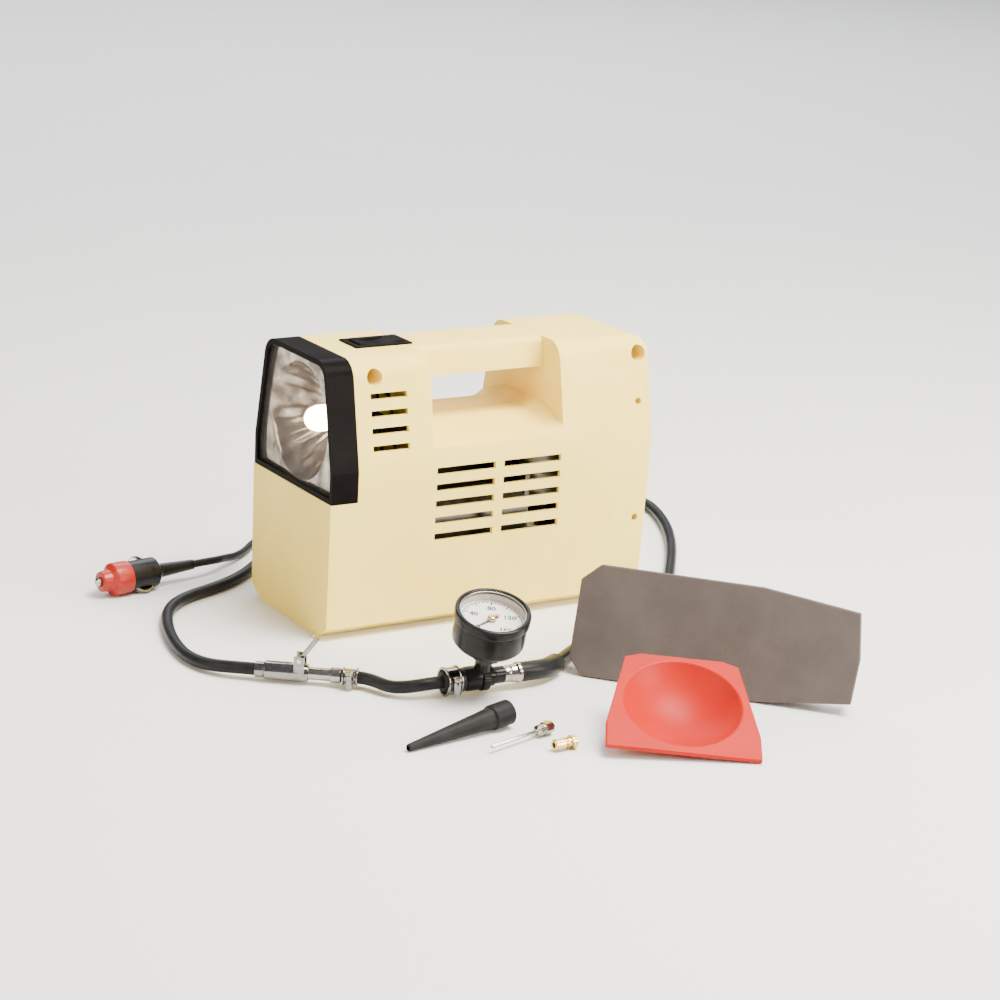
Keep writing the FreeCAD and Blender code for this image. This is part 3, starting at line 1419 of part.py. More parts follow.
chuck_frame = heading_frame(dim.chuck_x, dim.chuck_y, dim.chuck_height, dim.chuck_heading)
HOSE_LEVEL = 4.0
air_hose = cord("air_hose", hose_radius, [
    tuple(spot(dim.hose_gland_x, gland_y + dim.hose_gland_length, dim.gland_height)),
    tuple(spot(dim.hose_gland_x, gland_y + dim.hose_gland_length + 16.0, dim.gland_height)),
    (-7.0, 98.6, 9.6), (-20.8, 111.8, 5.4), (-38.6, 118.3, HOSE_LEVEL), (-57.6, 117.0, HOSE_LEVEL),
    (-75.0, 107.6, HOSE_LEVEL), (-90.0, 93.6, HOSE_LEVEL), (-105.0, 79.0, HOSE_LEVEL),
    (-121.5, 67.0, HOSE_LEVEL), (-139.0, 58.5, HOSE_LEVEL), (-156.0, 52.0, HOSE_LEVEL),
    (-171.0, 42.5, HOSE_LEVEL), (-182.5, 28.5, HOSE_LEVEL), (-190.5, 12.0, HOSE_LEVEL),
    (-197.5, -7.0, HOSE_LEVEL), (-202.5, -27.0, HOSE_LEVEL), (-205.0, -45.0, HOSE_LEVEL),
    (-203.8, -60.0, HOSE_LEVEL + 0.4), (-199.7, -72.0, HOSE_LEVEL + 1.4),
    tuple(chuck_frame.multVec(spot(-13.0, 0.0, 0.0))), tuple(chuck_frame.Base)])


def make_chuck():
    """The chuck on its frame's X axis: its barrel, the lever with its pin, and the stem it grips."""
    length = dim.chuck_length
    body_blank = turned("chuck_blank", "X", [
        (0.0, 0.0), (0.0, 4.6), (5.0, 4.6), (6.0, dim.chuck_radius),
        (length - 4.0, dim.chuck_radius), (length, dim.chuck_mouth_radius + 0.9),
        (length, dim.chuck_mouth_radius), (length - dim.chuck_mouth_depth, dim.chuck_mouth_radius),
        (length - dim.chuck_mouth_depth, 1.5), (3.0, 1.5), (3.0, 0.0)])
    half = dim.lever_width / 2
    ear_half = half + dim.lever_clearance
    ears = []
    for sign in (-1, 1):
        y0 = ear_half if sign > 0 else -ear_half - 1.6
        ears.append(block(f"chuck_ear_{sign}", dim.lever_pin_x - 3.0, dim.lever_pin_x + 3.0, y0, y0 + 1.6,
                          0.0, dim.lever_pin_rise + 2.6))
    mouth = rod("chuck_mouth_space", "X", dim.chuck_mouth_radius, dim.chuck_mouth_depth + 1.0,
                length - dim.chuck_mouth_depth)
    pin_hole = rod("chuck_pin_hole", "Y", dim.lever_pin_radius, 20.0, dim.lever_pin_x, -10.0,
                   dim.lever_pin_rise)
    body = cut("chuck_body", fuse("chuck_solid", body_blank, *ears), mouth, pin_hole)
    pin_rod = rod("chuck_pin_rod", "Y", dim.lever_pin_radius, (ear_half + 1.6) * 2, dim.lever_pin_x,
                  -ear_half - 1.6, dim.lever_pin_rise)
    pin = group("chuck_pin", pin_rod)
    hub = dim.lever_pin_radius + 1.0
    arm = block("lever_arm", 0.0, dim.lever_length, -half, half, -dim.lever_thickness / 2,
                dim.lever_thickness / 2)
    tab = block("lever_tab", dim.lever_length - 2.0, dim.lever_length, -half, half, 0.0,
                dim.lever_thickness * 1.6)
    round_hub = rod("lever_hub", "Y", hub, half * 2, 0.0, -half, 0.0)
    bore = rod("lever_bore", "Y", dim.lever_pin_radius + 0.05, half * 2 + 2.0, 0.0, -half - 1.0, 0.0)
    lever = cut("chuck_lever", fuse("lever_blank", arm, tab, round_hub), bore)
    lever_frame = chuck_frame.multiply(FreeCAD.Placement(
        spot(dim.lever_pin_x, 0.0, dim.lever_pin_rise),
        FreeCAD.Rotation(Vector(0, 1, 0), -float(dim.lever_rest))))
    stem_start = length - dim.chuck_mouth_depth + 1.0
    stem_end = stem_start + dim.stem_length + 8.0
    stem = turned("stem_adaptor", "X", [
        (stem_start, 1.2), (stem_start, dim.stem_radius), (stem_end - 6.0, dim.stem_radius),
        (stem_end - 6.0, dim.stem_collar_radius), (stem_end, dim.stem_collar_radius), (stem_end, 1.2)])
    place(body, chuck_frame)
    place(stem, chuck_frame)
    place(pin, chuck_frame)
    place(lever, lever_frame)
    return body, pin, lever, stem, stem_end


chuck_body, chuck_pin, chuck_lever, stem_adaptor, stem_end = make_chuck()


# Gauge line

tee_frame = heading_frame(dim.tee_x, dim.tee_y, dim.tee_height, dim.tee_heading)
short_start = chuck_frame.multVec(spot(stem_end, 0.0, 0.0))
short_clamp = chuck_frame.multVec(spot(stem_end + dim.clamp_width + 2.4, 0.0, 0.0))
cuff_start = tee_frame.multVec(spot(-dim.tee_front - dim.cuff_length, 0.0, 0.0))
cuff_lead = tee_frame.multVec(spot(-dim.tee_front - dim.cuff_length - 8.0, 0.0, 0.0))
gauge_hose_short = cord("gauge_hose_short", hose_radius, [
    tuple(short_start), tuple(short_clamp), (-127.2, -134.0, 6.2), (-123.2, -146.2, 5.6),
    (-115.4, -154.4, 7.4), tuple(cuff_lead), tuple(cuff_start)])
sleeve_start = tee_frame.multVec(spot(dim.tee_back + dim.ferrule_length, 0.0, 0.0))


def clamp_at(name, frame, x, inner, low):
    """A band clamp with its screw housing on one side."""
    band = cut(name + "_ring", rod(name + "_band", "X", inner + dim.clamp_wall, dim.clamp_width, x),
               rod(name + "_space", "X", inner, dim.clamp_width + 2.0, x - 1.0))
    screw = rod(name + "_screw", "Z", dim.clamp_screw_radius, dim.clamp_screw_length, x + dim.clamp_width / 2,
                -inner - dim.clamp_wall - dim.clamp_screw_radius * 0.6, -dim.clamp_screw_length / 2 + low)
    hole = rod(name + "_hose", "X", inner, dim.clamp_width * 3, x - dim.clamp_width)
    return place(cut(name, fuse(name + "_blank", band, screw), hole), frame)


def make_tee():
    """The tee that carries the gauge, with its rubber cuff, the clamps and the ferrule."""
    front = -dim.tee_front
    tee_run = turned("tee_run", "X", [
        (front, 1.6), (front, dim.tee_radius - 1.0), (front + 2.0, dim.tee_radius),
        (front + 10.0, dim.tee_radius),
        (front + 11.0, dim.tee_hub_radius + 1.0), (dim.tee_back - 7.0, dim.tee_hub_radius + 1.0),
        (dim.tee_back - 6.0, dim.tee_hub_radius), (dim.tee_back, dim.tee_hub_radius), (dim.tee_back, 1.6)])
    place(tee_run, tee_frame)
    neck = rod("tee_neck", "Z", dim.tee_hub_radius, dim.gauge_reach - dim.gauge_depth - 3.0)
    half = dim.stem_square / 2
    square = block("tee_square", -half, half, -half, half, dim.gauge_reach - dim.gauge_depth - 12.0,
                   dim.gauge_reach - dim.gauge_depth)
    stem = fuse("tee_stem", neck, square)
    place(stem, gauge_frame)
    inside = rod("tee_inside", "X", 1.6, dim.tee_front + dim.tee_back + 2.0, -dim.tee_front - 1.0)
    place(inside, tee_frame)
    body = cut("tee_body", fuse("tee_blank", tee_run, stem), inside)
    cuff = turned("cuff", "X", [
        (front - dim.cuff_length, hose_radius), (front - dim.cuff_length, hose_radius + 1.0),
        (front - dim.cuff_length + 3.0, dim.cuff_radius), (front, dim.cuff_radius), (front, 2.0),
        (front - dim.cuff_length, 2.0)])
    return body, cuff


def gauge_rotation():
    """The gauge leans from upright by its tilt, toward its azimuth."""
    azimuth = FreeCAD.Rotation(Vector(0, 0, 1), float(dim.gauge_azimuth))
    lean = FreeCAD.Rotation(Vector(0, 1, 0), float(dim.gauge_tilt))
    return azimuth.multiply(lean).multiply(azimuth.inverted())


gauge_frame = FreeCAD.Placement(spot(dim.tee_x, dim.tee_y, dim.tee_height), gauge_rotation())


def make_clamps():
    """One band clamp on the stem's hose end and one on the rubber cuff."""
    first = clamp_at("stem_clamp", chuck_frame, stem_end + 1.0, hose_radius, 0.0)
    cuff_clamp_x = -dim.tee_front - dim.clamp_width - 3.0
    second = clamp_at("cuff_clamp", tee_frame, cuff_clamp_x, dim.cuff_radius, 0.0)
    return group("hose_clamps", first, second)


def make_ferrule():
    """The bright ferrule on the tee's rear end, flared towards its rim."""
    start = dim.tee_back
    end = start + dim.ferrule_length
    ferrule_part = turned("ferrule", "X", [
        (start, 2.0), (start, dim.ferrule_radius - 1.6), (end - 3.0, dim.ferrule_radius - 0.8),
        (end - 2.4, dim.ferrule_radius), (end, dim.ferrule_radius), (end, 2.0)])
    return place(ferrule_part, tee_frame)


tee_body, cuff = make_tee()
place(cuff, tee_frame)
hose_clamps = make_clamps()
ferrule = make_ferrule()


# The rubber sleeve and the long hose to the tyre connector

sleeve_lead = tee_frame.multVec(spot(dim.tee_back + dim.ferrule_length + 11.0, 0.0, 0.0))
sleeve_bend = Vector(-24.0, -160.0, 8.0)
sleeve_end = Vector(-15.0, -152.5, 6.8)
sleeve_points = [tuple(sleeve_start), tuple(sleeve_lead), tuple(sleeve_bend), tuple(sleeve_end)]


def onward(before, end, distance):
    """The point that lies straight on past a run's end."""
    step = end - before
    step.normalize()
    return end + step * distance


back_sleeve = cord("sleeve_run", dim.sleeve_radius, sleeve_points)
hose_sleeve = group("hose_sleeve", cuff, back_sleeve)

LONG_ROUTE = [
    tuple(sleeve_end), tuple(onward(sleeve_bend, sleeve_end, 13.0)), (11.0, -131.0, HOSE_LEVEL),
    (35.0, -117.0, HOSE_LEVEL),
    (62.0, -105.0, HOSE_LEVEL), (90.0, -90.0, HOSE_LEVEL), (119.0, -68.0, HOSE_LEVEL),
    (144.0, -40.0, HOSE_LEVEL), (168.0, -8.0, HOSE_LEVEL), (190.0, 23.0, HOSE_LEVEL),
    (208.0, 53.0, HOSE_LEVEL), (223.0, 85.0, HOSE_LEVEL), (232.0, 116.0, HOSE_LEVEL),
    (226.0, 143.0, HOSE_LEVEL), (207.0, 162.0, HOSE_LEVEL), (186.0, 168.0, 6.2),
    (166.0, 173.0, 6.6)]
gauge_hose_long = cord("gauge_hose_long", hose_radius, LONG_ROUTE)
last_run = Vector(*LONG_ROUTE[-1]) - Vector(*LONG_ROUTE[-2])
connector_frame = FreeCAD.Placement(Vector(*LONG_ROUTE[-1]), FreeCAD.Rotation(Vector(1, 0, 0), last_run))


def make_connector():
    """The screw-on tyre connector: a knurled brass nut with a threaded mouth."""
    length = dim.connector_length
    blank = turned("connector_blank", "X", [
        (0.0, 1.6), (0.0, 4.6), (4.0, 4.6), (5.0, dim.connector_radius),
        (length, dim.connector_radius), (length, dim.connector_thread_radius),
        (length - dim.connector_thread_depth, dim.connector_thread_radius),
        (length - dim.connector_thread_depth, 1.6)])
    grips = [rod(f"connector_grip_{i}", "X", 1.0, length, 6.0,
                 (dim.connector_radius + 0.4) * math.cos(2 * math.pi * i / 8),
                 (dim.connector_radius + 0.4) * math.sin(2 * math.pi * i / 8)) for i in range(8)]
    return place(cut("tyre_connector", blank, *grips), connector_frame)


tyre_connector = make_connector()


# Gauge, built on the Z axis of its frame

gauge_back = dim.gauge_reach - dim.gauge_depth
gauge_front = dim.gauge_reach
case_radius = dim.gauge_radius - dim.ring_wall
dial_level = gauge_front - dim.dial_depth
glass_low = gauge_front - dim.ring_lip_thickness - dim.glass_thickness
case_inside = case_radius - dim.gauge_wall


def make_gauge():
    """The case with its ring, glass, dial, needle and the movement behind the dial."""
    step = case_inside - dim.dial_step
    case_part = turned("gauge_case", "Z", [
        (0.0, gauge_back), (case_radius - 4.0, gauge_back), (case_radius - 1.0, gauge_back + 1.2),
        (case_radius, gauge_back + 4.0), (case_radius, glass_low), (case_inside, glass_low),
        (case_inside, dial_level), (step, dial_level), (step, gauge_back + dim.gauge_wall),
        (0.0, gauge_back + dim.gauge_wall)])
    ring = turned("gauge_ring", "Z", [
        (case_radius, glass_low - 3.0), (dim.gauge_radius, glass_low - 3.0),
        (dim.gauge_radius, gauge_front - 0.8),
        (dim.gauge_radius - 0.8, gauge_front), (dim.gauge_radius - dim.ring_lip + 0.6, gauge_front),
        (dim.gauge_radius - dim.ring_lip, gauge_front - 0.6),
        (dim.gauge_radius - dim.ring_lip, gauge_front - dim.ring_lip_thickness),
        (case_radius, gauge_front - dim.ring_lip_thickness)])
    glass = turned("gauge_glass", "Z", [
        (0.0, glass_low), (case_radius, glass_low), (case_radius, glass_low + dim.glass_thickness),
        (0.0, glass_low + dim.glass_thickness)])
    dial = turned("gauge_dial", "Z", [
        (dim.post_radius, dial_level), (case_inside, dial_level),
        (case_inside, dial_level + dim.dial_thickness),
        (dim.post_radius, dial_level + dim.dial_thickness)])
    needle_low = dial_level + dim.dial_thickness + 0.4
    hub = dim.needle_hub_radius
    hand = slab("needle_hand", "XY", needle_low, needle_low + dim.needle_thickness, [
        (-dim.needle_tail, -0.8), (dim.needle_length * 0.3, -0.7), (dim.needle_length, -0.2),
        (dim.needle_length, 0.2), (dim.needle_length * 0.3, 0.7), (-dim.needle_tail, 0.8)])
    boss = rod("needle_boss", "Z", hub, dim.needle_hub_height, 0.0, 0.0, needle_low)
    bore = rod("needle_bore", "Z", dim.post_radius + dim.post_clearance, 10.0, 0.0, 0.0, needle_low - 1.0)
    needle = cut("gauge_needle", fuse("needle_blank", hand, boss), bore)
    post_low = gauge_back + dim.gauge_wall
    post = rod("gauge_post", "Z", dim.post_radius, needle_low + dim.needle_hub_height - 0.3 - post_low,
               0.0, 0.0, post_low)
    block_half = 3.0
    mount = cut("movement_mount", block("mount_blank", -block_half, block_half,
                                        -dim.bourdon_radius - block_half, -dim.bourdon_radius + block_half,
                                        post_low, post_low + 7.0),
                rod("mount_bore", "Z", 0.6, 20.0, 0.0, -dim.bourdon_radius, post_low - 1.0))
    bend = doc.addObject("Part::Torus", "bourdon_bend")
    bind(bend, Radius1=dim.bourdon_radius, Radius2=dim.bourdon_tube_radius, Angle3=dim.bourdon_sweep)
    bend.Placement = FreeCAD.Placement(spot(0.0, 0.0, post_low + 4.0),
                                       FreeCAD.Rotation(Vector(0, 0, 1), -90.0))
    tube = cut("bourdon_tube", bend, block("bourdon_end", -block_half, block_half,
                                           -dim.bourdon_radius - block_half,
                                           -dim.bourdon_radius + block_half, post_low, post_low + 7.0))
    movement = group("gauge_movement", post, mount, tube)
    for piece in (case_part, ring, glass, dial, movement):
        place(piece, gauge_frame)
    turn = FreeCAD.Placement(Vector(), FreeCAD.Rotation(Vector(0, 0, 1), float(dim.needle_rest)))
    place(needle, gauge_frame.multiply(turn))
    return case_part, ring, glass, dial, needle, movement


gauge_case, gauge_ring, gauge_glass, gauge_dial, gauge_needle, gauge_movement = make_gauge()


# Storage cover, standing on its long edge and leaning back on its skirt

cover_lean = math.degrees(math.atan2(float(dim.cover_skirt_inset), float(dim.cover_skirt_depth)))
stand_lift = dim.cover_plate * math.sin(math.radians(cover_lean)) + dim.floor_gap
cover_frame = FreeCAD.Placement(
    spot(dim.stand_x, dim.stand_y, stand_lift),
    FreeCAD.Rotation(Vector(0, 0, 1), float(dim.stand_heading)).multiply(
        FreeCAD.Rotation(Vector(1, 0, 0), -cover_lean)))


def make_cover():
    """A thin plate with a skirt set in from its edge."""
    inset = dim.cover_skirt_inset
    plate = slab("cover_plate", "XZ", 0.0, dim.cover_plate, cover_outline(0.0, 0.0, 0.0))
    skirt = slab("cover_skirt", "XZ", dim.cover_plate, dim.cover_plate + dim.cover_skirt_depth,
                 cover_outline(inset, 0.0, 0.0))
    hollow = slab("cover_hollow", "XZ", dim.cover_plate, dim.cover_plate + dim.cover_skirt_depth + 1.0,
                  cover_outline(inset + dim.cover_skirt_wall, 0.0, 0.0))
    return place(cut("storage_cover", fuse("cover_blank", plate, skirt), hollow), cover_frame)


storage_cover = make_cover()


# Red lens, lying on its dome and one corner

dome_inner = (dim.dome_radius * dim.dome_radius + dim.dome_depth * dim.dome_depth) / (dim.dome_depth * 2)
dome_outer = dome_inner + dim.lens_wall
dome_centre = dome_inner - dim.dome_depth
lens_turn = FreeCAD.Rotation(Vector(0, 0, 1), float(dim.lens_heading)).multiply(
    FreeCAD.Rotation(Vector(1, 0, 0), float(dim.lens_pitch))).multiply(
    FreeCAD.Rotation(Vector(0, 1, 0), float(dim.lens_roll)))
lens_up = lens_turn.multVec(Vector(0, 0, 1))
lens_height = dome_outer - dome_centre * lens_up.z + dim.floor_gap
lens_frame = FreeCAD.Placement(spot(dim.lens_x, dim.lens_y, lens_height), lens_turn)


def make_lens():
    """A flat plate, wide at the bottom, with a shallow dome pressed through it."""
    low = -dim.dome_up
    half = [(dim.lens_half_width, low), (dim.lens_knee_half_width, low + dim.lens_knee),
            (dim.lens_shoulder_half_width, low + dim.lens_shoulder),
            (dim.lens_top_half_width, low + dim.lens_top)]
    outline = half + [(-a, b) for a, b in reversed(half)]
    plate = slab("lens_plate", "XY", -dim.lens_plate, 0.0, outline)
    ball = doc.addObject("Part::Sphere", "lens_ball")
    bind(ball, Radius=dome_outer)
    move(ball, 0.0, 0.0, dome_centre)
    under = block("lens_under", -dome_outer, dome_outer, -dome_outer, dome_outer, -dome_outer, 0.0)
    hollow = doc.addObject("Part::Sphere", "lens_hollow")
    bind(hollow, Radius=dome_inner)
    move(hollow, 0.0, 0.0, dome_centre)
    dome = common("lens_dome", ball, under)
    return place(cut("red_lens", fuse("lens_blank", plate, dome), hollow), lens_frame)


red_lens = make_lens()


# Adapters lying on the floor

def make_nozzle():
    """The long tapered nozzle with its collar, lying on its flank."""
    length = dim.nozzle_length
    end = length + dim.nozzle_collar_length
    bore = dim.nozzle_bore_radius
    nozzle = turned("nozzle_adaptor", "X", [
        (0.0, bore), (0.0, dim.nozzle_tip_radius - 0.5), (0.5, dim.nozzle_tip_radius),
        (length, dim.nozzle_root_radius), (length + 0.8, dim.nozzle_collar_radius),
        (end - 0.6, dim.nozzle_collar_radius), (end, dim.nozzle_collar_radius - 0.6), (end, 4.0),
        (end - 8.0, 4.0), (end - 8.0, bore)])
    lean = math.degrees(math.atan2(float(dim.nozzle_collar_radius - dim.nozzle_tip_radius), float(length)))
    return place(nozzle, heading_frame(dim.nozzle_x, dim.nozzle_y,
                                       dim.nozzle_tip_radius / math.cos(math.radians(lean)) + dim.floor_gap,
                                       dim.nozzle_heading, lean))


def make_ball_needle():
    """The needle for balls on its threaded base."""
    length = dim.ball_pin_length
    end = length + dim.ball_base_length
    pin = turned("ball_needle", "X", [
        (0.0, 0.0), (0.0, 0.6), (0.8, dim.ball_pin_radius),
        (length, dim.ball_pin_radius), (length, dim.ball_base_radius - 0.8),
        (length + 4.5, dim.ball_base_radius - 0.8),
        (length + 5.0, dim.ball_base_radius), (end, dim.ball_base_radius), (end, 1.2), (end - 5.0, 1.2),
        (end - 5.0, 0.0)])
    return place(pin, heading_frame(dim.needle_x, dim.needle_y, dim.ball_base_radius + dim.floor_gap,
                                    dim.needle_heading))


def make_valve_adaptor():
    """The brass adaptor for thin cycle valves."""
    length = dim.adaptor_length
    radius = dim.adaptor_radius
    piece = turned("valve_adaptor", "X", [
        (0.0, dim.adaptor_bore_radius), (0.0, radius - 0.5), (0.5, radius),
        (length - 6.0, radius), (length - 5.4, radius - 0.7), (length - 4.6, radius - 0.7),
        (length - 4.0, dim.adaptor_flange_radius), (length, dim.adaptor_flange_radius),
        (length, dim.adaptor_bore_radius)])
    return place(piece, heading_frame(dim.adaptor_x, dim.adaptor_y, dim.adaptor_flange_radius + dim.floor_gap,
                                      dim.adaptor_heading))


nozzle_adaptor = make_nozzle()
ball_needle = make_ball_needle()
valve_adaptor = make_valve_adaptor()


# Every sub-part under its own name, checked and written

PIECES = {
    "near_shell": near_shell, "far_shell": far_shell, "shell_screws": shell_screws,
    "lamp_bezel": lamp_bezel, "lamp_pane": lamp_pane, "reflector": reflector,
    "bulb_glass": bulb_glass, "bulb_base": bulb_base, "switch_frame": switch_frame,
    "rocker_button": rocker_button, "motor_can": motor_can, "motor_end_cap": motor_end_cap,
    "motor_magnets": motor_magnets, "motor_shaft": motor_shaft, "armature": armature, "pinion": pinion,
    "crank_gear": crank_gear, "crank_pins": crank_pins, "crank_bush": crank_bush, "pump_frame": pump_frame,
    "cylinder": cylinder, "cylinder_head": cylinder_head, "head_screws": head_screws, "piston": piston,
    "connecting_rod": connecting_rod, "hose_gland": hose_gland, "cord_relief": cord_relief,
    "outlet_tube": outlet_tube, "inner_wires": inner_wires, "power_cord": power_cord, "cord_coil": cord_coil,
    "coil_tie": coil_tie, "plug_nose": plug_nose, "plug_body": plug_body, "plug_contacts": plug_contacts,
    "plug_tip": plug_tip, "tip_spring": tip_spring, "air_hose": air_hose, "chuck_body": chuck_body,
    "chuck_pin": chuck_pin, "chuck_lever": chuck_lever, "stem_adaptor": stem_adaptor,
    "hose_clamps": hose_clamps, "gauge_hose_short": gauge_hose_short, "tee_body": tee_body,
    "ferrule": ferrule, "hose_sleeve": hose_sleeve, "gauge_hose_long": gauge_hose_long,
    "tyre_connector": tyre_connector, "gauge_case": gauge_case, "gauge_ring": gauge_ring,
    "gauge_glass": gauge_glass, "gauge_dial": gauge_dial, "gauge_needle": gauge_needle,
    "gauge_movement": gauge_movement, "storage_cover": storage_cover, "red_lens": red_lens,
    "nozzle_adaptor": nozzle_adaptor, "ball_needle": ball_needle, "valve_adaptor": valve_adaptor,
}

doc.recompute()
for name, piece in PIECES.items():
    piece.Label = name
failed = [thing.Label for thing in doc.Objects if "Invalid" in thing.State or "Error" in thing.State]
for name, piece in PIECES.items():
    if piece.Shape.isNull() or not piece.Shape.isValid() or not piece.Shape.Solids:
        failed.append(name)
if failed:
    raise RuntimeError("these pieces failed: " + ", ".join(failed))
os.makedirs("parts", exist_ok=True)
for name, piece in PIECES.items():
    piece.Shape.exportStep(f"parts/{name}.step")
print(len(PIECES), "sub-parts written")
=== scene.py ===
# A 12 volt tire inflator with a work light, finished for its portrait: cream housing, black hood, lit lamp,
# its air hose with chuck and gauge, its power cord with a lighter plug, and the loose pieces round it.
import json
import math
import bmesh
import bpy
import numpy as np
from mathutils import Matrix, Vector


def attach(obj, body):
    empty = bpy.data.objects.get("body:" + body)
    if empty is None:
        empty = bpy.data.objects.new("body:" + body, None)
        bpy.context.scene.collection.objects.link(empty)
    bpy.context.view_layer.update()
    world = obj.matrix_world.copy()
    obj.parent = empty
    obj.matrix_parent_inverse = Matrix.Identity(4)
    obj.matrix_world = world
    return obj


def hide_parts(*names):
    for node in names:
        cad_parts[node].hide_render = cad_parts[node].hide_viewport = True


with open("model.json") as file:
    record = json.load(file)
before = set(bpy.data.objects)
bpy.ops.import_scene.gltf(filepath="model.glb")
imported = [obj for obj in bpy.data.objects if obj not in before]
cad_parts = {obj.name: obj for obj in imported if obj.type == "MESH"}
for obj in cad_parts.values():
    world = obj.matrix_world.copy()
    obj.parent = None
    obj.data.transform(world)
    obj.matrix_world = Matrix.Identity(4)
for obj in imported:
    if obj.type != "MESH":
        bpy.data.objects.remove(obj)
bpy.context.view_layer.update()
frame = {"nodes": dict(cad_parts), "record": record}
nodes = frame["nodes"]
MM = 0.001


# Places: where the pieces that this script makes stand, the same as in the solid model

def set_down(x, y, z, heading):
    """The place of a piece that lies level, in millimetres and degrees: its X axis turned to its heading."""
    return Matrix.Translation(Vector((x, y, z)) * MM) @ Matrix.Rotation(math.radians(heading), 4, "Z")


PLUG_PLACE = set_down(-208.6, 79.0, 10.6, 9.0)
CHUCK_PLACE = set_down(-181.0, -90.5, 6.6, -37.0)
TEE_PLACE = set_down(-72.0, -161.5, 9.5, -4.0)
GAUGE_LEAN = 18.0
GAUGE_AZIMUTH = -100.0
GAUGE_PLACE = (Matrix.Translation(TEE_PLACE.translation)
               @ Matrix.Rotation(math.radians(GAUGE_AZIMUTH), 4, "Z")
               @ Matrix.Rotation(math.radians(GAUGE_LEAN), 4, "Y")
               @ Matrix.Rotation(math.radians(-GAUGE_AZIMUTH), 4, "Z"))
UPRIGHT = Matrix.Rotation(math.radians(-90.0), 4, "Y")


# Camera and light

def make_camera():
    """The camera stands low at the lamp's side of the near flank, with a long lens, leaning a little."""
    data = bpy.data.cameras.new("portrait_camera")
    data.lens = 95.68
    data.sensor_width = 36.0
    camera = bpy.data.objects.new("portrait_camera", data)
    right = Vector((0.85479, -0.51668, 0.04862))
    up = Vector((0.10556, 0.26483, 0.95850))
    back = Vector((-0.50812, -0.81419, 0.28092))
    turn = Matrix((right, up, back)).transposed().to_4x4()
    stand = Vector((-0.8300, -1.3874, 0.5381))
    camera.matrix_world = Matrix.Translation(stand) @ turn
    bpy.context.scene.collection.objects.link(camera)
    bpy.context.scene.camera = camera


def softbox(name, place, target, size, power, colour):
    """A square lamp of soft light, turned to face a point of the object."""
    data = bpy.data.lights.new(name, "AREA")
    data.shape = "SQUARE"
    data.size = size
    data.energy = power
    data.color = colour
    lamp = bpy.data.objects.new(name, data)
    lamp.location = place
    lamp.rotation_euler = (Vector(target) - Vector(place)).to_track_quat("-Z", "Y").to_euler()
    bpy.context.scene.collection.objects.link(lamp)


def make_studio():
    """A large light overhead, a second one right of the camera, a weak warm one on the lamp's side, a broad
    one on the floor behind, and a pale room."""
    middle = (0.0, -0.05, 0.07)
    softbox("top_light", (0.35, -0.55, 1.5), middle, 0.9, 94.0, (1.0, 0.96, 0.87))
    softbox("side_light", (0.9, -1.5, 0.55), middle, 0.8, 50.0, (1.0, 0.93, 0.81))
    softbox("front_light", (-1.6, -0.3, 0.7), middle, 1.0, 18.0, (1.0, 0.87, 0.66))
    softbox("back_light", (1.3, 2.4, 2.2), (1.3, 2.4, 0.0), 3.0, 150.0, (0.94, 0.96, 1.0))
    room = bpy.data.worlds.new("studio_room")
    room.use_nodes = True
    background = room.node_tree.nodes["Background"]
    background.inputs["Color"].default_value = (0.93, 0.95, 1.0, 1.0)
    background.inputs["Strength"].default_value = 0.3
    bpy.context.scene.world = room


# Finishes: each one a short recipe of base colour, patches, grain and gloss

def link(tree, source, output, target, socket):
    tree.links.new(source.outputs[output], target.inputs[socket])


def finish_of(name, colour, second, rough, patch, metal=0.0, grain=0.0, grain_size=0.5, alpha=1.0,
              stretch=(1.0, 1.0, 1.0), level=0.5):
    """A finish whose colour drifts to a second colour in soft patches, with a fine bump over it.

    Patch is the patches' width and grain_size the grain's, in millimetres; grain is the bump's height.
    Level is how strongly a plastic mirrors the room, with 0.5 as the usual value.
    """
    material = bpy.data.materials.new(name)
    material.use_nodes = True
    tree = material.node_tree
    shader = tree.nodes["Principled BSDF"]
    shader.inputs["Metallic"].default_value = metal
    shader.inputs["Alpha"].default_value = alpha
    shader.inputs["Specular IOR Level"].default_value = level
    where = tree.nodes.new("ShaderNodeTexCoord")
    turn = tree.nodes.new("ShaderNodeMapping")
    turn.inputs["Scale"].default_value = stretch
    link(tree, where, "Object", turn, "Vector")
    patches = tree.nodes.new("ShaderNodeTexNoise")
    patches.inputs["Scale"].default_value = 1000.0 / patch
    patches.inputs["Detail"].default_value = 4.0
    link(tree, turn, "Vector", patches, "Vector")
    ramp = tree.nodes.new("ShaderNodeValToRGB")
    ramp.color_ramp.elements[0].position = 0.35
    ramp.color_ramp.elements[1].position = 0.65
    ramp.color_ramp.elements[0].color = (*colour, 1.0)
    ramp.color_ramp.elements[1].color = (*second, 1.0)
    link(tree, patches, "Fac", ramp, "Fac")
    link(tree, ramp, "Color", shader, "Base Color")
    spread = tree.nodes.new("ShaderNodeMapRange")
    spread.inputs["To Min"].default_value = rough * 0.85
    spread.inputs["To Max"].default_value = min(1.0, rough * 1.2)
    link(tree, patches, "Fac", spread, "Value")
    link(tree, spread, "Result", shader, "Roughness")
    if grain:
        fine = tree.nodes.new("ShaderNodeTexNoise")
        fine.inputs["Scale"].default_value = 1000.0 / grain_size
        fine.inputs["Detail"].default_value = 3.0
        link(tree, turn, "Vector", fine, "Vector")
        bump = tree.nodes.new("ShaderNodeBump")
        bump.inputs["Distance"].default_value = grain * MM
        bump.inputs["Strength"].default_value = 1.0
        link(tree, fine, "Fac", bump, "Height")
        link(tree, bump, "Normal", shader, "Normal")
    return material


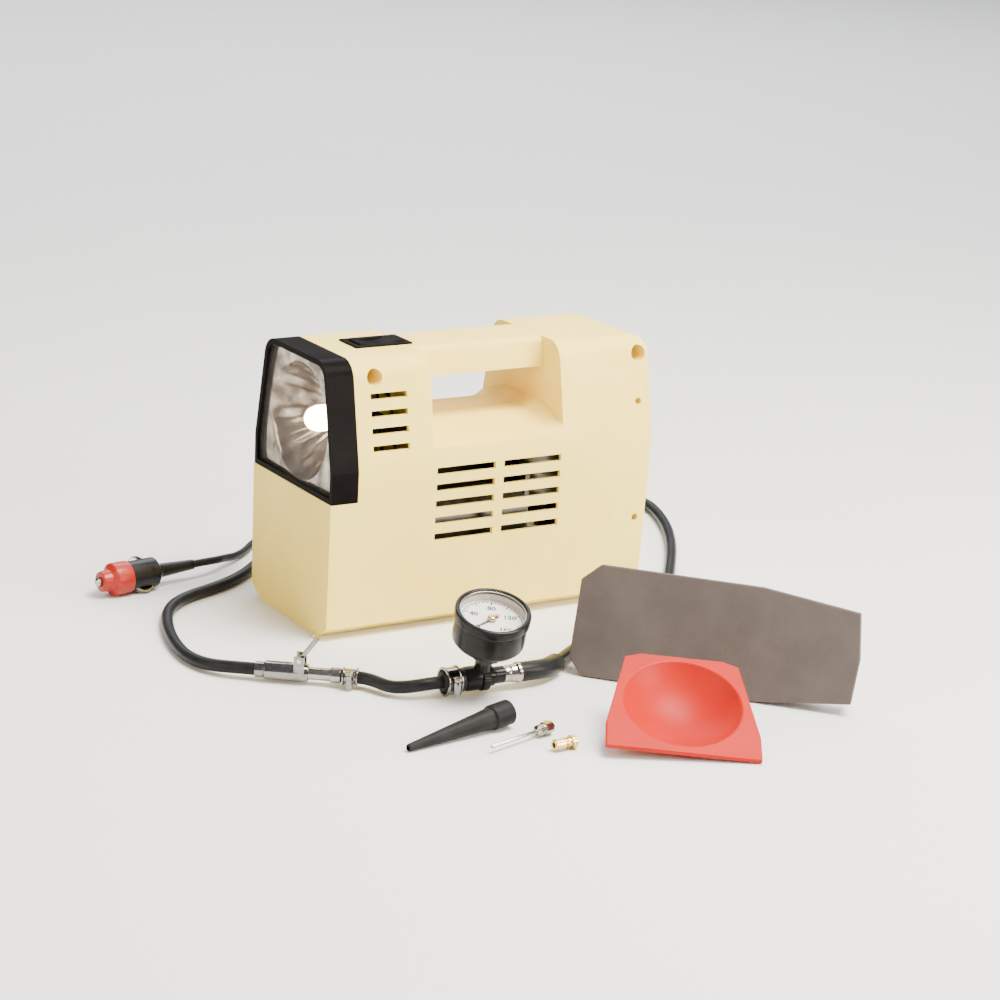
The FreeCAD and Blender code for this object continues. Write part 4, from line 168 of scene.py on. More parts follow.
def glow(material, colour, strength):
    """Makes a finish shine by itself."""
    shader = material.node_tree.nodes["Principled BSDF"]
    shader.inputs["Emission Color"].default_value = (*colour, 1.0)
    shader.inputs["Emission Strength"].default_value = strength
    return material


FINISH = {
    "housing_plastic": finish_of("cream_plastic", (0.92, 0.705, 0.155), (0.88, 0.66, 0.130), 0.55,
                                 grain=0.05, grain_size=0.9, patch=40.0, level=0.35),
    "hood_plastic": finish_of("gloss_black_plastic", (0.005, 0.004, 0.004), (0.008, 0.007, 0.007), 0.34,
                              grain=0.004, grain_size=3.0, patch=30.0, level=0.012),
    "clear_plastic": finish_of("clear_pane", (0.30, 0.29, 0.28), (0.24, 0.23, 0.22), 0.05, alpha=0.08,
                               patch=30.0, level=0.2),
    # The chrome's colour drifts in patches to a dark brown: painted reflection of dark, coppery surroundings,
    # not the metal's own colour.
    "reflector_chrome": finish_of("chrome_with_painted_dark_reflections", (0.62, 0.54, 0.46), (0.13, 0.09, 0.06), 0.17, metal=1.0,
                                  grain=0.03, grain_size=5.0, patch=13.0),
    "lamp_glass": glow(finish_of("lit_glass", (1.0, 0.95, 0.85), (1.0, 0.92, 0.8), 0.2, patch=4.0),
                       (1.0, 0.74, 0.38), 45.0),
    "bright_steel": finish_of("bright_steel", (0.72, 0.72, 0.71), (0.62, 0.61, 0.60), 0.22, metal=1.0,
                              grain=0.01, grain_size=0.6, patch=4.0),
    "switch_plastic": finish_of("black_switch_plastic", (0.005, 0.005, 0.005), (0.008, 0.008, 0.008), 0.24,
                                grain=0.004, grain_size=1.0, patch=8.0, level=0.012),
    "can_steel": finish_of("blackened_can", (0.060, 0.056, 0.052), (0.085, 0.078, 0.072), 0.4, metal=0.6,
                           grain=0.01, grain_size=0.8, patch=8.0, stretch=(1.0, 0.2, 0.2)),
    "magnet_ferrite": finish_of("dark_ferrite", (0.045, 0.045, 0.05), (0.07, 0.07, 0.075), 0.6,
                                grain=0.05, grain_size=0.8, patch=3.0),
    "winding_copper": finish_of("enamelled_copper", (0.62, 0.24, 0.09), (0.45, 0.16, 0.06), 0.3, metal=0.9,
                                grain=0.2, grain_size=0.9, patch=2.0, stretch=(0.2, 1.0, 1.0)),
    "gear_brass": finish_of("turned_brass", (0.74, 0.53, 0.22), (0.62, 0.42, 0.16), 0.25, metal=1.0,
                            grain=0.01, grain_size=0.5, patch=4.0),
    "gear_nylon": finish_of("natural_nylon", (0.78, 0.76, 0.66), (0.72, 0.69, 0.58), 0.45,
                            grain=0.01, grain_size=0.8, patch=8.0),
    "frame_steel": finish_of("dark_zinc_plate", (0.17, 0.17, 0.17), (0.23, 0.23, 0.22), 0.42, metal=1.0,
                             grain=0.015, grain_size=1.2, patch=7.0),
    "pump_aluminium": finish_of("cast_aluminium", (0.58, 0.58, 0.59), (0.49, 0.49, 0.50), 0.48, metal=1.0,
                                grain=0.06, grain_size=0.7, patch=6.0),
    "black_rubber": finish_of("black_rubber", (0.008, 0.008, 0.009), (0.014, 0.014, 0.015), 0.34,
                              grain=0.015, grain_size=0.8, patch=12.0, level=0.12),
    "wire_sheath": finish_of("dark_wire_sheath", (0.020, 0.016, 0.015), (0.032, 0.026, 0.024), 0.4,
                             grain=0.005, grain_size=0.8, patch=10.0),
    "plug_red": finish_of("red_plug_plastic", (0.38, 0.015, 0.007), (0.32, 0.012, 0.006), 0.28,
                          grain=0.006, grain_size=1.0, patch=6.0, level=0.35),
    "plug_black": finish_of("black_plug_plastic", (0.007, 0.007, 0.008), (0.012, 0.012, 0.013), 0.28,
                            grain=0.01, grain_size=0.8, patch=8.0, level=0.2),
    "nickel": finish_of("polished_nickel", (0.42, 0.40, 0.36), (0.33, 0.31, 0.28), 0.18, metal=1.0,
                        grain=0.006, grain_size=0.6, patch=4.0),
    "gauge_black": finish_of("gauge_black_enamel", (0.006, 0.006, 0.006), (0.010, 0.010, 0.010), 0.22,
                             grain=0.004, grain_size=1.2, patch=9.0, level=0.15),
    "dial_white": finish_of("printed_white", (0.84, 0.83, 0.79), (0.80, 0.79, 0.75), 0.5, grain=0.003,
                            grain_size=0.5, patch=9.0),
    "needle_black": finish_of("needle_lacquer", (0.02, 0.02, 0.02), (0.035, 0.035, 0.035), 0.35,
                              grain=0.003, grain_size=0.4, patch=3.0),
    "cover_plastic": finish_of("warm_grey_plastic", (0.100, 0.080, 0.072), (0.082, 0.066, 0.060), 0.5,
                               grain=0.08, grain_size=1.0, patch=26.0, level=0.3),
    "lens_red": finish_of("red_lens_plastic", (0.42, 0.008, 0.002), (0.38, 0.006, 0.002), 0.42,
                          grain=0.006, grain_size=2.0, patch=24.0, level=0.15),
    "nozzle_plastic": finish_of("black_nozzle_plastic", (0.008, 0.008, 0.009), (0.014, 0.014, 0.015), 0.5,
                                grain=0.012, grain_size=0.8, patch=8.0, level=0.1),
}


# Painted shade: a dark colour painted on the housing's inner faces, standing in for the shade inside it.
PAINTED_INSIDE_SHADE = (0.030, 0.020, 0.010)
PAINTED_SHADE_LIMIT = -0.01


def darken_inside(material, colour):
    """Paints shade on the faces that look across the housing towards its middle: a dark colour standing in
    for the shade of its unlit inside, on those whose normal's Y times their place's Y, in metres, is under
    the limit."""
    tree = material.node_tree
    base = tree.nodes["Principled BSDF"].inputs["Base Color"]
    painted = base.links[0].from_socket
    where = tree.nodes.new("ShaderNodeTexCoord")
    facing = tree.nodes.new("ShaderNodeNewGeometry")
    product = tree.nodes.new("ShaderNodeVectorMath")
    product.operation = "MULTIPLY"
    link(tree, where, "Object", product, 0)
    link(tree, facing, "Normal", product, 1)
    parts = tree.nodes.new("ShaderNodeSeparateXYZ")
    link(tree, product, "Vector", parts, "Vector")
    painted_shade_mask = tree.nodes.new("ShaderNodeMath")
    painted_shade_mask.operation = "LESS_THAN"
    painted_shade_mask.inputs[1].default_value = PAINTED_SHADE_LIMIT
    link(tree, parts, "Y", painted_shade_mask, 0)
    choice = tree.nodes.new("ShaderNodeMixRGB")
    choice.inputs["Color2"].default_value = (*colour, 1.0)
    link(tree, painted_shade_mask, "Value", choice, "Fac")
    tree.links.new(painted, choice.inputs["Color1"])
    link(tree, choice, "Color", tree.nodes["Principled BSDF"], "Base Color")


# The housing's plastic takes painted shade on its inner faces.
darken_inside(FINISH["housing_plastic"], PAINTED_INSIDE_SHADE)
DIAL_INK = finish_of("dial_ink", (0.02, 0.02, 0.02), (0.03, 0.03, 0.03), 0.6, patch=5.0)
DIAL_ORANGE = finish_of("dial_orange", (0.85, 0.22, 0.03), (0.78, 0.18, 0.02), 0.5, patch=5.0)
DIAL_WALL = finish_of("dial_wall_enamel", (0.50, 0.43, 0.36), (0.42, 0.36, 0.31), 0.4, patch=6.0)
DARK_CHROME = finish_of("dark_chrome", (0.30, 0.29, 0.28), (0.22, 0.21, 0.21), 0.14, metal=1.0,
                        grain=0.006, grain_size=0.8, patch=3.0)


def wear(piece, material):
    """Gives a piece its one finish."""
    piece.data.materials.clear()
    piece.data.materials.append(material)


SLOT_OF = {part["node"]: part["material_slot"] for part in frame["record"]["subparts"]}


def dress_nodes():
    """Every node takes the finish of its slot in the record."""
    for node, slot in SLOT_OF.items():
        wear(nodes[node], FINISH[slot])


def fit(piece, body, *replaced, slot=None):
    """The last step of each new piece: its body, and the nodes it stands for. The slot is not used."""
    slot or SLOT_OF[replaced[0]]
    if replaced:
        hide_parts(*replaced)
    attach(piece, body)
    return piece


# Surfaces

# Points nearer than these, in metres, count as one: in a grid, and in a node's own triangles
SAME_POINT = 1e-7
WELD_REACH = 2e-6
FLAT_ANGLE = math.radians(1.0)
# A corner is cut back by at most this share of an edge
MOST_CUT = 0.45
# The shares of a curve or a step at which a point stands
THIRDS = (0.0, 0.33, 0.67, 1.0)


def surface_piece(name, mesh, finish, crease=35.0):
    """A mesh as a piece at the origin, shaded smooth except at edges sharper than the crease."""
    mesh.validate()
    mesh.shade_smooth()
    mesh.set_sharp_from_angle(angle=math.radians(crease))
    piece = bpy.data.objects.new(name, mesh)
    bpy.context.scene.collection.objects.link(piece)
    wear(piece, finish)
    return piece


def skin(name, grid, finish, place=None, round_rows=False, round_columns=True, crease=35.0):
    """A grid of points, rows by columns, joined by four-sided faces; equal points are merged into poles."""
    rows, columns = grid.shape[:2]
    number = np.arange(rows * columns).reshape(rows, columns)
    if round_rows:
        number = np.vstack([number, number[:1]])
    if round_columns:
        number = np.hstack([number, number[:, :1]])
    faces = np.stack([number[:-1, :-1], number[:-1, 1:], number[1:, 1:], number[1:, :-1]], axis=-1)
    points = grid.reshape(-1, 3)
    if place is not None:
        turn = np.array(place)
        points = points @ turn[:3, :3].T + turn[:3, 3]
    mesh = bpy.data.meshes.new(name)
    mesh.from_pydata(points.tolist(), [], faces.reshape(-1, 4).tolist())
    work = bmesh.new()
    work.from_mesh(mesh)
    bmesh.ops.remove_doubles(work, verts=work.verts, dist=SAME_POINT)
    bmesh.ops.recalc_face_normals(work, faces=work.faces)
    work.to_mesh(mesh)
    work.free()
    return surface_piece(name, mesh, finish, crease)


def rounded(profile, radius):
    """A profile with each inner corner replaced by a short curve: the corner is cut back by the radius on
    both sides, though by less than half of a short edge, and two points between lie on the quadratic curve
    that the corner pulls."""
    points = np.array(profile, float)
    before = points[:-2] - points[1:-1]
    after = points[2:] - points[1:-1]
    room_before = np.linalg.norm(before, axis=1, keepdims=True)
    room_after = np.linalg.norm(after, axis=1, keepdims=True)
    start = points[1:-1] + before * np.minimum(radius / room_before, MOST_CUT)
    end = points[1:-1] + after * np.minimum(radius / room_after, MOST_CUT)
    share = np.array(THIRDS)[:, None, None]
    curve = (1 - share) ** 2 * start + 2 * share * (1 - share) * points[1:-1] + share ** 2 * end
    return np.vstack([points[:1], curve.transpose(1, 0, 2).reshape(-1, 2), points[-1:]])


def turned(name, profile, finish, place, sides=64, ripple=None, crease=35.0):
    """A profile of (along, radius) turned about its X axis: along, radius cos a, radius sin a, with the
    radius multiplied by the ripple of (row, angle) where one is given. Lengths are in millimetres."""
    points = np.array(profile, float)
    angle = np.linspace(0.0, 2 * np.pi, sides, endpoint=False)
    along = np.repeat(points[:, :1], sides, axis=1)
    radius = np.repeat(points[:, 1:], sides, axis=1)
    if ripple is not None:
        radius = radius * ripple(along, angle[None, :])
    grid = np.stack([along, radius * np.cos(angle), radius * np.sin(angle)], axis=-1) * MM
    return skin(name, grid, finish, place, crease=crease)


def softened(node, width, finish=None, angle=28.0, segments=2):
    """A node's own shape with a small round on each edge: its triangles are merged, its flat faces joined,
    and the edges sharper than the angle are rounded by the width, in millimetres."""
    mesh = nodes[node].data.copy()
    stored_normals = mesh.attributes.get("custom_normal")
    if stored_normals:
        mesh.attributes.remove(stored_normals)
    work = bmesh.new()
    work.from_mesh(mesh)
    bmesh.ops.remove_doubles(work, verts=work.verts, dist=WELD_REACH)
    bmesh.ops.dissolve_limit(work, angle_limit=FLAT_ANGLE, verts=work.verts, edges=work.edges)
    work.to_mesh(mesh)
    work.free()
    piece = surface_piece(node + "_finished", mesh, finish or FINISH[SLOT_OF[node]])
    rounding = piece.modifiers.new("edge_round", "BEVEL")
    rounding.width = width * MM
    rounding.segments = segments
    rounding.limit_method = "ANGLE"
    rounding.angle_limit = math.radians(angle)
    rounding.harden_normals = False
    return piece


# Cords and hoses

# Each is a smooth line drawn by the points of the solid model's route. Only beside its coil does the power
# cord have points of its own, which lead it into the drawn turns.
POWER_START = [(85.0, 80.88, 14.4), (85.0, 93.88, 14.4), (91.0, 107.0, 10.6), (98.6, 121.0, 6.0),
               (100.0, 150.0, 4.2)]
POWER_RUN = [(26.0, 178.0, 9.0), (4.0, 177.0, 4.6), (-26.0, 168.0, 2.7), (-50.0, 155.0, 2.7),
             (-70.0, 140.0, 2.7), (-84.0, 124.0, 2.7), (-97.0, 112.5, 4.3), (-108.5, 104.0, 7.1),
             (-117.5, 96.0, 9.3), (-127.41, 91.86, 10.6), (-137.29, 90.29, 10.6)]
AIR_RUN = [(0.0, 64.88, 14.4), (0.0, 80.88, 14.4), (-7.0, 98.6, 9.6), (-20.8, 111.8, 5.4),
           (-38.6, 118.3, 4.0), (-57.6, 117.0, 4.0), (-75.0, 107.6, 4.0), (-90.0, 93.6, 4.0),
           (-105.0, 79.0, 4.0), (-121.5, 67.0, 4.0), (-139.0, 58.5, 4.0), (-156.0, 52.0, 4.0),
           (-171.0, 42.5, 4.0), (-182.5, 28.5, 4.0), (-190.5, 12.0, 4.0), (-197.5, -7.0, 4.0),
           (-202.5, -27.0, 4.0), (-205.0, -45.0, 4.0), (-203.8, -60.0, 4.4), (-199.7, -72.0, 5.4),
           (-191.38, -82.68, 6.6), (-181.0, -90.5, 6.6)]
SHORT_RUN = [(-141.07, -120.59, 6.6), (-131.96, -127.45, 6.6), (-127.2, -134.0, 6.2), (-123.2, -146.2, 5.6),
             (-115.4, -154.4, 7.4), (-104.92, -159.20, 9.5), (-96.94, -159.76, 9.5)]
SLEEVE_RUN = [(-47.06, -163.24, 9.5), (-36.09, -164.01, 9.5), (-24.0, -160.0, 8.0), (-15.0, -152.5, 6.8)]
LONG_RUN = [(-15.0, -152.5, 6.8), (-5.07, -144.22, 5.48), (11.0, -131.0, 4.0), (35.0, -117.0, 4.0),
            (62.0, -105.0, 4.0), (90.0, -90.0, 4.0), (119.0, -68.0, 4.0), (144.0, -40.0, 4.0),
            (168.0, -8.0, 4.0), (190.0, 23.0, 4.0), (208.0, 53.0, 4.0), (223.0, 85.0, 4.0),
            (232.0, 116.0, 4.0), (226.0, 143.0, 4.0), (207.0, 162.0, 4.0), (186.0, 168.0, 6.2),
            (166.0, 173.0, 6.6)]
CORD_DIAMETER = 5.0
HOSE_DIAMETER = 7.5
SLEEVE_DIAMETER = 11.8
COIL_CENTRE = (60.0, 140.0)
COIL_RADIUS = 27.5
COIL_FLOOR = 3.5
TURN_SPACE = 5.4
TURN_RISE = 5.15
TURN_ROWS = 4
TURN_COLUMNS = 4


def coil_points():
    """The turns of the put-away coil, four columns by four rows. A turn keeps its column and row all round,
    except in a short window of its circle, where it steps to the next column, or at the end of a row climbs
    to the row above. Each row's window comes before the one below it, so that no turn meets another. The
    cord comes in from one column further out, and leaves the last turn where its last window would start.
    Angles are in degrees."""
    window = 50.0
    first = 45.0
    step = 18.0
    least_step = 0.4 * step
    slack = 1e-6
    slots = []
    for row in range(TURN_ROWS):
        columns = range(TURN_COLUMNS) if row % 2 else reversed(range(TURN_COLUMNS))
        slots += [(column, row) for column in columns]
    slots = [(TURN_COLUMNS, 0)] + slots + [(TURN_COLUMNS, TURN_ROWS - 1)]
    points = []
    angle = first
    for (column, row), (next_column, next_row) in zip(slots[:-1], slots[1:]):
        level = row * 2 + (1 if next_row != row else 0)
        turn_count = math.ceil((angle - first + level * window) / 360.0 - slack)
        start = first - level * window + 360.0 * turn_count
        while angle < start - least_step:
            points.append((column, row, angle))
            angle += step
        for share in THIRDS:
            ease = share * share * (3 - 2 * share)
            points.append((column + (next_column - column) * ease, row + (next_row - row) * ease,
                           start + window * share))
        angle = start + window + step
    turns = []
    for column, row, degrees in points[:-len(THIRDS)]:
        radius = COIL_RADIUS + (column - (TURN_COLUMNS - 1) / 2) * TURN_SPACE
        turns.append((COIL_CENTRE[0] + radius * math.cos(math.radians(degrees)),
                      COIL_CENTRE[1] + radius * math.sin(math.radians(degrees)),
                      COIL_FLOOR + row * TURN_RISE))
    return turns


def line_of(name, points, diameter, finish):
    """A smooth open curve with a round section, its points given in millimetres."""
    curve = bpy.data.curves.new(name, "CURVE")
    curve.dimensions = "3D"
    curve.bevel_depth = diameter / 2 * MM
    curve.bevel_resolution = 5
    curve.resolution_u = 6
    curve.use_fill_caps = True
    spline = curve.splines.new("NURBS")
    spline.points.add(len(points) - 1)
    for control, point in zip(spline.points, points):
        control.co = (point[0] * MM, point[1] * MM, point[2] * MM, 1.0)
    spline.order_u = 3
    spline.use_endpoint_u = True
    piece = bpy.data.objects.new(name, curve)
    bpy.context.scene.collection.objects.link(piece)
    wear(piece, finish)
    return piece


def metres(point):
    return tuple(value * MM for value in point)


def make_cords(plug, chuck, tail, tie):
    """The power cord with its coil, the air hose, and the two hoses of the gauge line."""
    rubber = FINISH["black_rubber"]
    power = line_of("power_cord_line", POWER_START + coil_points() + POWER_RUN, CORD_DIAMETER, rubber)
    fit(power, "root", "power_cord", "cord_coil")
    metres(POWER_START[0])
    air = line_of("air_hose_line", AIR_RUN, HOSE_DIAMETER, rubber)
    fit(air, "root", "air_hose")
    metres(AIR_RUN[0])
    short = line_of("gauge_hose_short_line", SHORT_RUN, HOSE_DIAMETER, rubber)
    fit(short, "root", "gauge_hose_short")
    metres(SHORT_RUN[0])
    long = line_of("gauge_hose_long_line", LONG_RUN, HOSE_DIAMETER, rubber)
    fit(long, "root", "gauge_hose_long")
    metres(LONG_RUN[0])


make_camera()
make_studio()
dress_nodes()


# Floor

def make_floor():
    """A pale sweep: level under the object, far larger than what the camera sees."""
    mesh = bpy.data.meshes.new("floor")
    reach = 6.0
    mesh.from_pydata([(-reach, -reach, 0.0), (reach, -reach, 0.0), (reach, reach, 0.0), (-reach, reach, 0.0)],
                     [], [(0, 1, 2, 3)])
    floor = bpy.data.objects.new("floor", mesh)
    bpy.context.scene.collection.objects.link(floor)
    wear(floor, finish_of("pale_floor", (0.80, 0.80, 0.79), (0.78, 0.78, 0.77), 0.7, patch=200.0))


make_floor()


# Housing, switch, cover, lens and hose gland: the solid model's shapes with their edges rounded

for node_name, edge_round in (("near_shell", 0.5), ("far_shell", 0.5), ("switch_frame", 0.35),
                              ("storage_cover", 0.8), ("red_lens", 0.7), ("hose_gland", 0.3)):
    owner = {"storage_cover": "cover", "red_lens": "lens"}.get(node_name, "root")
    fit(softened(node_name, edge_round, segments=3), owner, node_name)
fit(softened("rocker_button", 0.8, segments=3), "rocker", "rocker_button")


# Work light

FLANGE_FRONT = -110.1
LAMP_HEIGHT = 126.0
LAMP_RADIUS = 36.6
LAMP_DEPTH = 30.0
LAMP_NECK = 7.4
LAMP_ANGLES = np.linspace(-np.pi, np.pi, 160, endpoint=False)
FLUTES = 20
FLUTE_DEPTH = 0.018
FLUTE_SWIRL = 5.0
PLATE_GAP = 0.3
PLATE_EDGE = 0.5
BOWL_SETBACK = 0.4
PLATE_WALL = 1.2
PANE_STANDOFF = 1.6
PANE_THICKNESS = 1.2
BELT = (52.0, 105.3)
BROW_TOP = (39.4, 170.5)
LAMP_LOW = (51.8, 86.4)
HOOD_WALL = 2.4
HOOD_ROUND = 8.7


def lamp_outline(angle):
    """How far the lamp's outline lies from its centre at each angle, a quarter turn being up: flanks that
    widen to the belt, brows that lean in, and rounded top corners, all inside the hood's wall."""
    half = np.array([(LAMP_LOW[0] - HOOD_WALL, LAMP_LOW[1] + HOOD_WALL), (BELT[0] - HOOD_WALL, BELT[1]),
                     (BROW_TOP[0] - HOOD_WALL, BROW_TOP[1] - HOOD_WALL), (0.0, BROW_TOP[1] - HOOD_WALL)])
    half = rounded(half, HOOD_ROUND)
    other = half[::-1] * (-1.0, 1.0)
    corners = np.vstack([half, other[1:], half[:1]])
    share = np.linspace(0.0, 1.0, 40, endpoint=False)[:, None, None]
    line = (corners[:-1] * (1 - share) + corners[1:] * share).transpose(1, 0, 2).reshape(-1, 2)
    line = line - (0.0, LAMP_HEIGHT)
    turn = np.arctan2(line[:, 1], line[:, 0])
    order = np.argsort(turn)
    return np.interp(angle, turn[order], np.hypot(line[:, 0], line[:, 1])[order], period=2 * np.pi)


def make_reflector():
    """A bright plate out to the hood with a paraboloid bowl in it: at a share of the lamp's radius its depth
    is 1 - share^2 of the lamp's, and its surface waves in swirling flutes, strongest at half the radius."""
    angle = LAMP_ANGLES
    rows = [(np.full_like(angle, FLANGE_FRONT), lamp_outline(angle) - PLATE_GAP)]
    rows.append((np.full_like(angle, FLANGE_FRONT), np.full_like(angle, LAMP_RADIUS + PLATE_EDGE)))
    for share in np.linspace(1.0, LAMP_NECK / LAMP_RADIUS, 28):
        wave = np.cos(FLUTES * angle + FLUTE_SWIRL * share)
        flute = 1.0 + FLUTE_DEPTH * wave * math.sin(math.pi * share) ** 0.5
        back = FLANGE_FRONT + BOWL_SETBACK + LAMP_DEPTH * (1.0 - share ** 2)
        rows.append((np.full_like(angle, back), LAMP_RADIUS * share * flute - BOWL_SETBACK))
    rows += [(back + PLATE_WALL, radius) for back, radius in rows[:1:-1]]
    rows.append((np.full_like(angle, FLANGE_FRONT + PLATE_WALL), rows[0][1]))
    grid = np.stack([np.stack([back, radius * np.cos(angle), LAMP_HEIGHT + radius * np.sin(angle)], axis=-1)
                     for back, radius in rows]) * MM
    return fit(skin("lamp_reflector", grid, FINISH["reflector_chrome"], round_rows=True, crease=50.0),
               "root", "reflector")


def make_pane():
    """The clear pane: a thin plate behind the hood's lip, with the lamp's outline for its rim."""
    angle = LAMP_ANGLES
    radius = lamp_outline(angle) - 0.2
    front = FLANGE_FRONT - PANE_STANDOFF
    back = front + PANE_THICKNESS
    rings = ((front, 0.0), (front, 1.0), (back, 1.0), (back, 0.0))
    grid = np.stack([np.stack([np.full_like(angle, along), share * radius * np.cos(angle),
                               LAMP_HEIGHT + share * radius * np.sin(angle)], axis=-1)
                     for along, share in rings])
    return fit(skin("lamp_window", grid * MM, FINISH["clear_plastic"]), "root", "lamp_pane")


make_reflector()
make_pane()
fit(softened("bulb_glass", 0.8, segments=3), "root", "bulb_glass")


# Gauge, turned about the axis of its dial

CASE_BACK = 25.0
GAUGE_FRONT = 48.0
GAUGE_RADIUS = 22.0
CASE_RADIUS = 21.0
INSIDE_RADIUS = 19.2
DIAL_TOP = 40.8
GLASS_LOW = 45.1
CRYSTAL_TOP = 46.3
CRYSTAL_RISE = 0.6
CRYSTAL_RADIUS = 18.7
SCALE_ZERO = 196.0
SCALE_SWEEP = 270.0
SCALE_STEPS = 32
SCALE_TOP = 160
MARK_TOP = 17.4
MARK_LOW = 15.8
LONG_MARK_LOW = 14.6
ARC_TOP = 17.8
NUMBER_RADIUS = 11.2
NUMBER_SIZE = 5.0
NUMBER_WEIGHT = 0.16
ORANGE_DISTANCE = 6.2
ORANGE_HEADING = math.radians(28.0)
ORANGE_RADIUS = 1.5
PRINT_LIFT = 0.05
NUMBER_LIFT = 0.06


def make_gauge_case():
    """The black can behind the dial, its rim ring with a bright inner lip, the pale wall inside, and the
    domed crystal over them."""
    place = GAUGE_PLACE @ UPRIGHT
    can = rounded([(CASE_BACK, 0.3), (CASE_BACK, CASE_RADIUS - 2.2), (CASE_BACK + 2.6, CASE_RADIUS),
                   (GLASS_LOW - 3.3, CASE_RADIUS), (GLASS_LOW - 3.3, INSIDE_RADIUS + 0.1),
                   (CASE_BACK + 2.0, INSIDE_RADIUS - 1.0), (CASE_BACK + 2.0, 0.3)], 1.0)
    case = fit(turned("gauge_can", can, FINISH["gauge_black"], place, sides=96), "root", "gauge_case")
    rim = rounded([(GLASS_LOW - 3.0, CASE_RADIUS + 0.02), (GLASS_LOW - 3.0, GAUGE_RADIUS),
                   (GAUGE_FRONT - 0.4, GAUGE_RADIUS), (GAUGE_FRONT, GAUGE_RADIUS - 1.4),
                   (GAUGE_FRONT - 0.3, GAUGE_RADIUS - 2.4), (GAUGE_FRONT - 1.3, GAUGE_RADIUS - 2.6),
                   (GAUGE_FRONT - 1.3, CASE_RADIUS + 0.02)], 0.5)
    ring = fit(turned("gauge_rim", rim, FINISH["gauge_black"], place, sides=96), "root", "gauge_ring")
    lip = rounded([(GAUGE_FRONT - 1.3, GAUGE_RADIUS - 2.6), (GAUGE_FRONT - 0.7, GAUGE_RADIUS - 2.7),
                   (GAUGE_FRONT - 0.7, GAUGE_RADIUS - 3.2), (GAUGE_FRONT - 1.3, GAUGE_RADIUS - 3.2)], 0.2)
    edge = fit(turned("gauge_lip", lip, FINISH["nickel"], place, sides=96), "root", slot="nickel")
    wall = [(DIAL_TOP, INSIDE_RADIUS - 0.05), (GLASS_LOW - 0.1, INSIDE_RADIUS - 0.05),
            (GLASS_LOW - 0.1, INSIDE_RADIUS + 1.6), (DIAL_TOP, INSIDE_RADIUS + 0.1)]
    inner = fit(turned("gauge_inner_wall", wall, DIAL_WALL, place, sides=96), "root", slot="dial_white")
    dome = [(CRYSTAL_TOP - CRYSTAL_RISE * (radius / CRYSTAL_RADIUS) ** 2, radius)
            for radius in np.linspace(0.02, CRYSTAL_RADIUS, 12)]
    crystal = turned("gauge_crystal", dome, FINISH["clear_plastic"], place, sides=96)
    glass = fit(crystal, "root", "gauge_glass")
    return [case, ring, edge, inner, glass]


def flat_print(name, outlines, finish, lift):
    """Flat faces printed on the dial: outlines in the dial's plane, in millimetres, lifted off its top."""
    mesh = bpy.data.meshes.new(name)
    points = []
    faces = []
    for outline in outlines:
        first = len(points)
        points += [GAUGE_PLACE @ (Vector((a, b, DIAL_TOP + lift)) * MM) for a, b in outline]
        faces.append(tuple(range(first, len(points))))
    mesh.from_pydata(points, [], faces)
    return surface_piece(name, mesh, finish)


def scale_spot(share, radius):
    """A point of the dial's scale, which runs clockwise from its zero."""
    angle = math.radians(SCALE_ZERO - SCALE_SWEEP * share)
    return radius * math.cos(angle), radius * math.sin(angle)


def make_dial_print():
    """Marks at every 5 and longer ones at every 20, a thin arc round them, an orange mark, and plain numbers
    that stand upright on the dial."""
    ticks = []
    for index in range(SCALE_STEPS + 1):
        share = index / SCALE_STEPS
        major = index % 4 == 0
        wide = 0.40 if major else 0.20
        inner = scale_spot(share, LONG_MARK_LOW if major else MARK_LOW)
        outer = scale_spot(share, MARK_TOP)
        across = Vector((outer[1] - inner[1], inner[0] - outer[0])).normalized() * wide
        ticks.append([(inner[0] - across.x, inner[1] - across.y), (inner[0] + across.x, inner[1] + across.y),
                      (outer[0] + across.x, outer[1] + across.y), (outer[0] - across.x, outer[1] - across.y)])
    arc = np.linspace(0.0, 1.0, 73)
    for first, second in zip(arc[:-1], arc[1:]):
        ticks.append([scale_spot(first, MARK_TOP), scale_spot(second, MARK_TOP),
                      scale_spot(second, ARC_TOP), scale_spot(first, ARC_TOP)])
    marks = fit(flat_print("dial_marks", ticks, DIAL_INK, PRINT_LIFT), "root", slot="needle_black")
    spot_x = ORANGE_DISTANCE * math.cos(ORANGE_HEADING)
    spot_y = ORANGE_DISTANCE * math.sin(ORANGE_HEADING)
    spot = [(spot_x + ORANGE_RADIUS * math.cos(angle), spot_y + ORANGE_RADIUS * math.sin(angle))
            for angle in np.linspace(0.0, 2 * math.pi, 24, endpoint=False)]
    orange = fit(flat_print("dial_orange_mark", [spot], DIAL_ORANGE, PRINT_LIFT), "root", slot="plug_red")
    upright = math.radians(SCALE_ZERO - SCALE_SWEEP / 2 - 90.0)
    numbers = []
    for value in range(0, SCALE_TOP + 1, 40):
        words = bpy.data.curves.new("dial_number", "FONT")
        words.body = str(value)
        words.size = NUMBER_SIZE * MM
        words.offset = NUMBER_WEIGHT * MM
        words.align_x = "CENTER"
        words.align_y = "CENTER"
        words.resolution_u = 3
        holder = bpy.data.objects.new("dial_number", words)
        mesh = bpy.data.meshes.new_from_object(holder)
        bpy.data.objects.remove(holder)
        x, y = scale_spot(value / SCALE_TOP, NUMBER_RADIUS)
        mesh.transform(GAUGE_PLACE @ Matrix.Translation(Vector((x, y, DIAL_TOP + NUMBER_LIFT)) * MM)
                       @ Matrix.Rotation(upright, 4, "Z"))
        piece = surface_piece(f"dial_number_{value}", mesh, DIAL_INK)
        numbers.append(fit(piece, "root", slot="needle_black"))
    return [marks, orange] + numbers


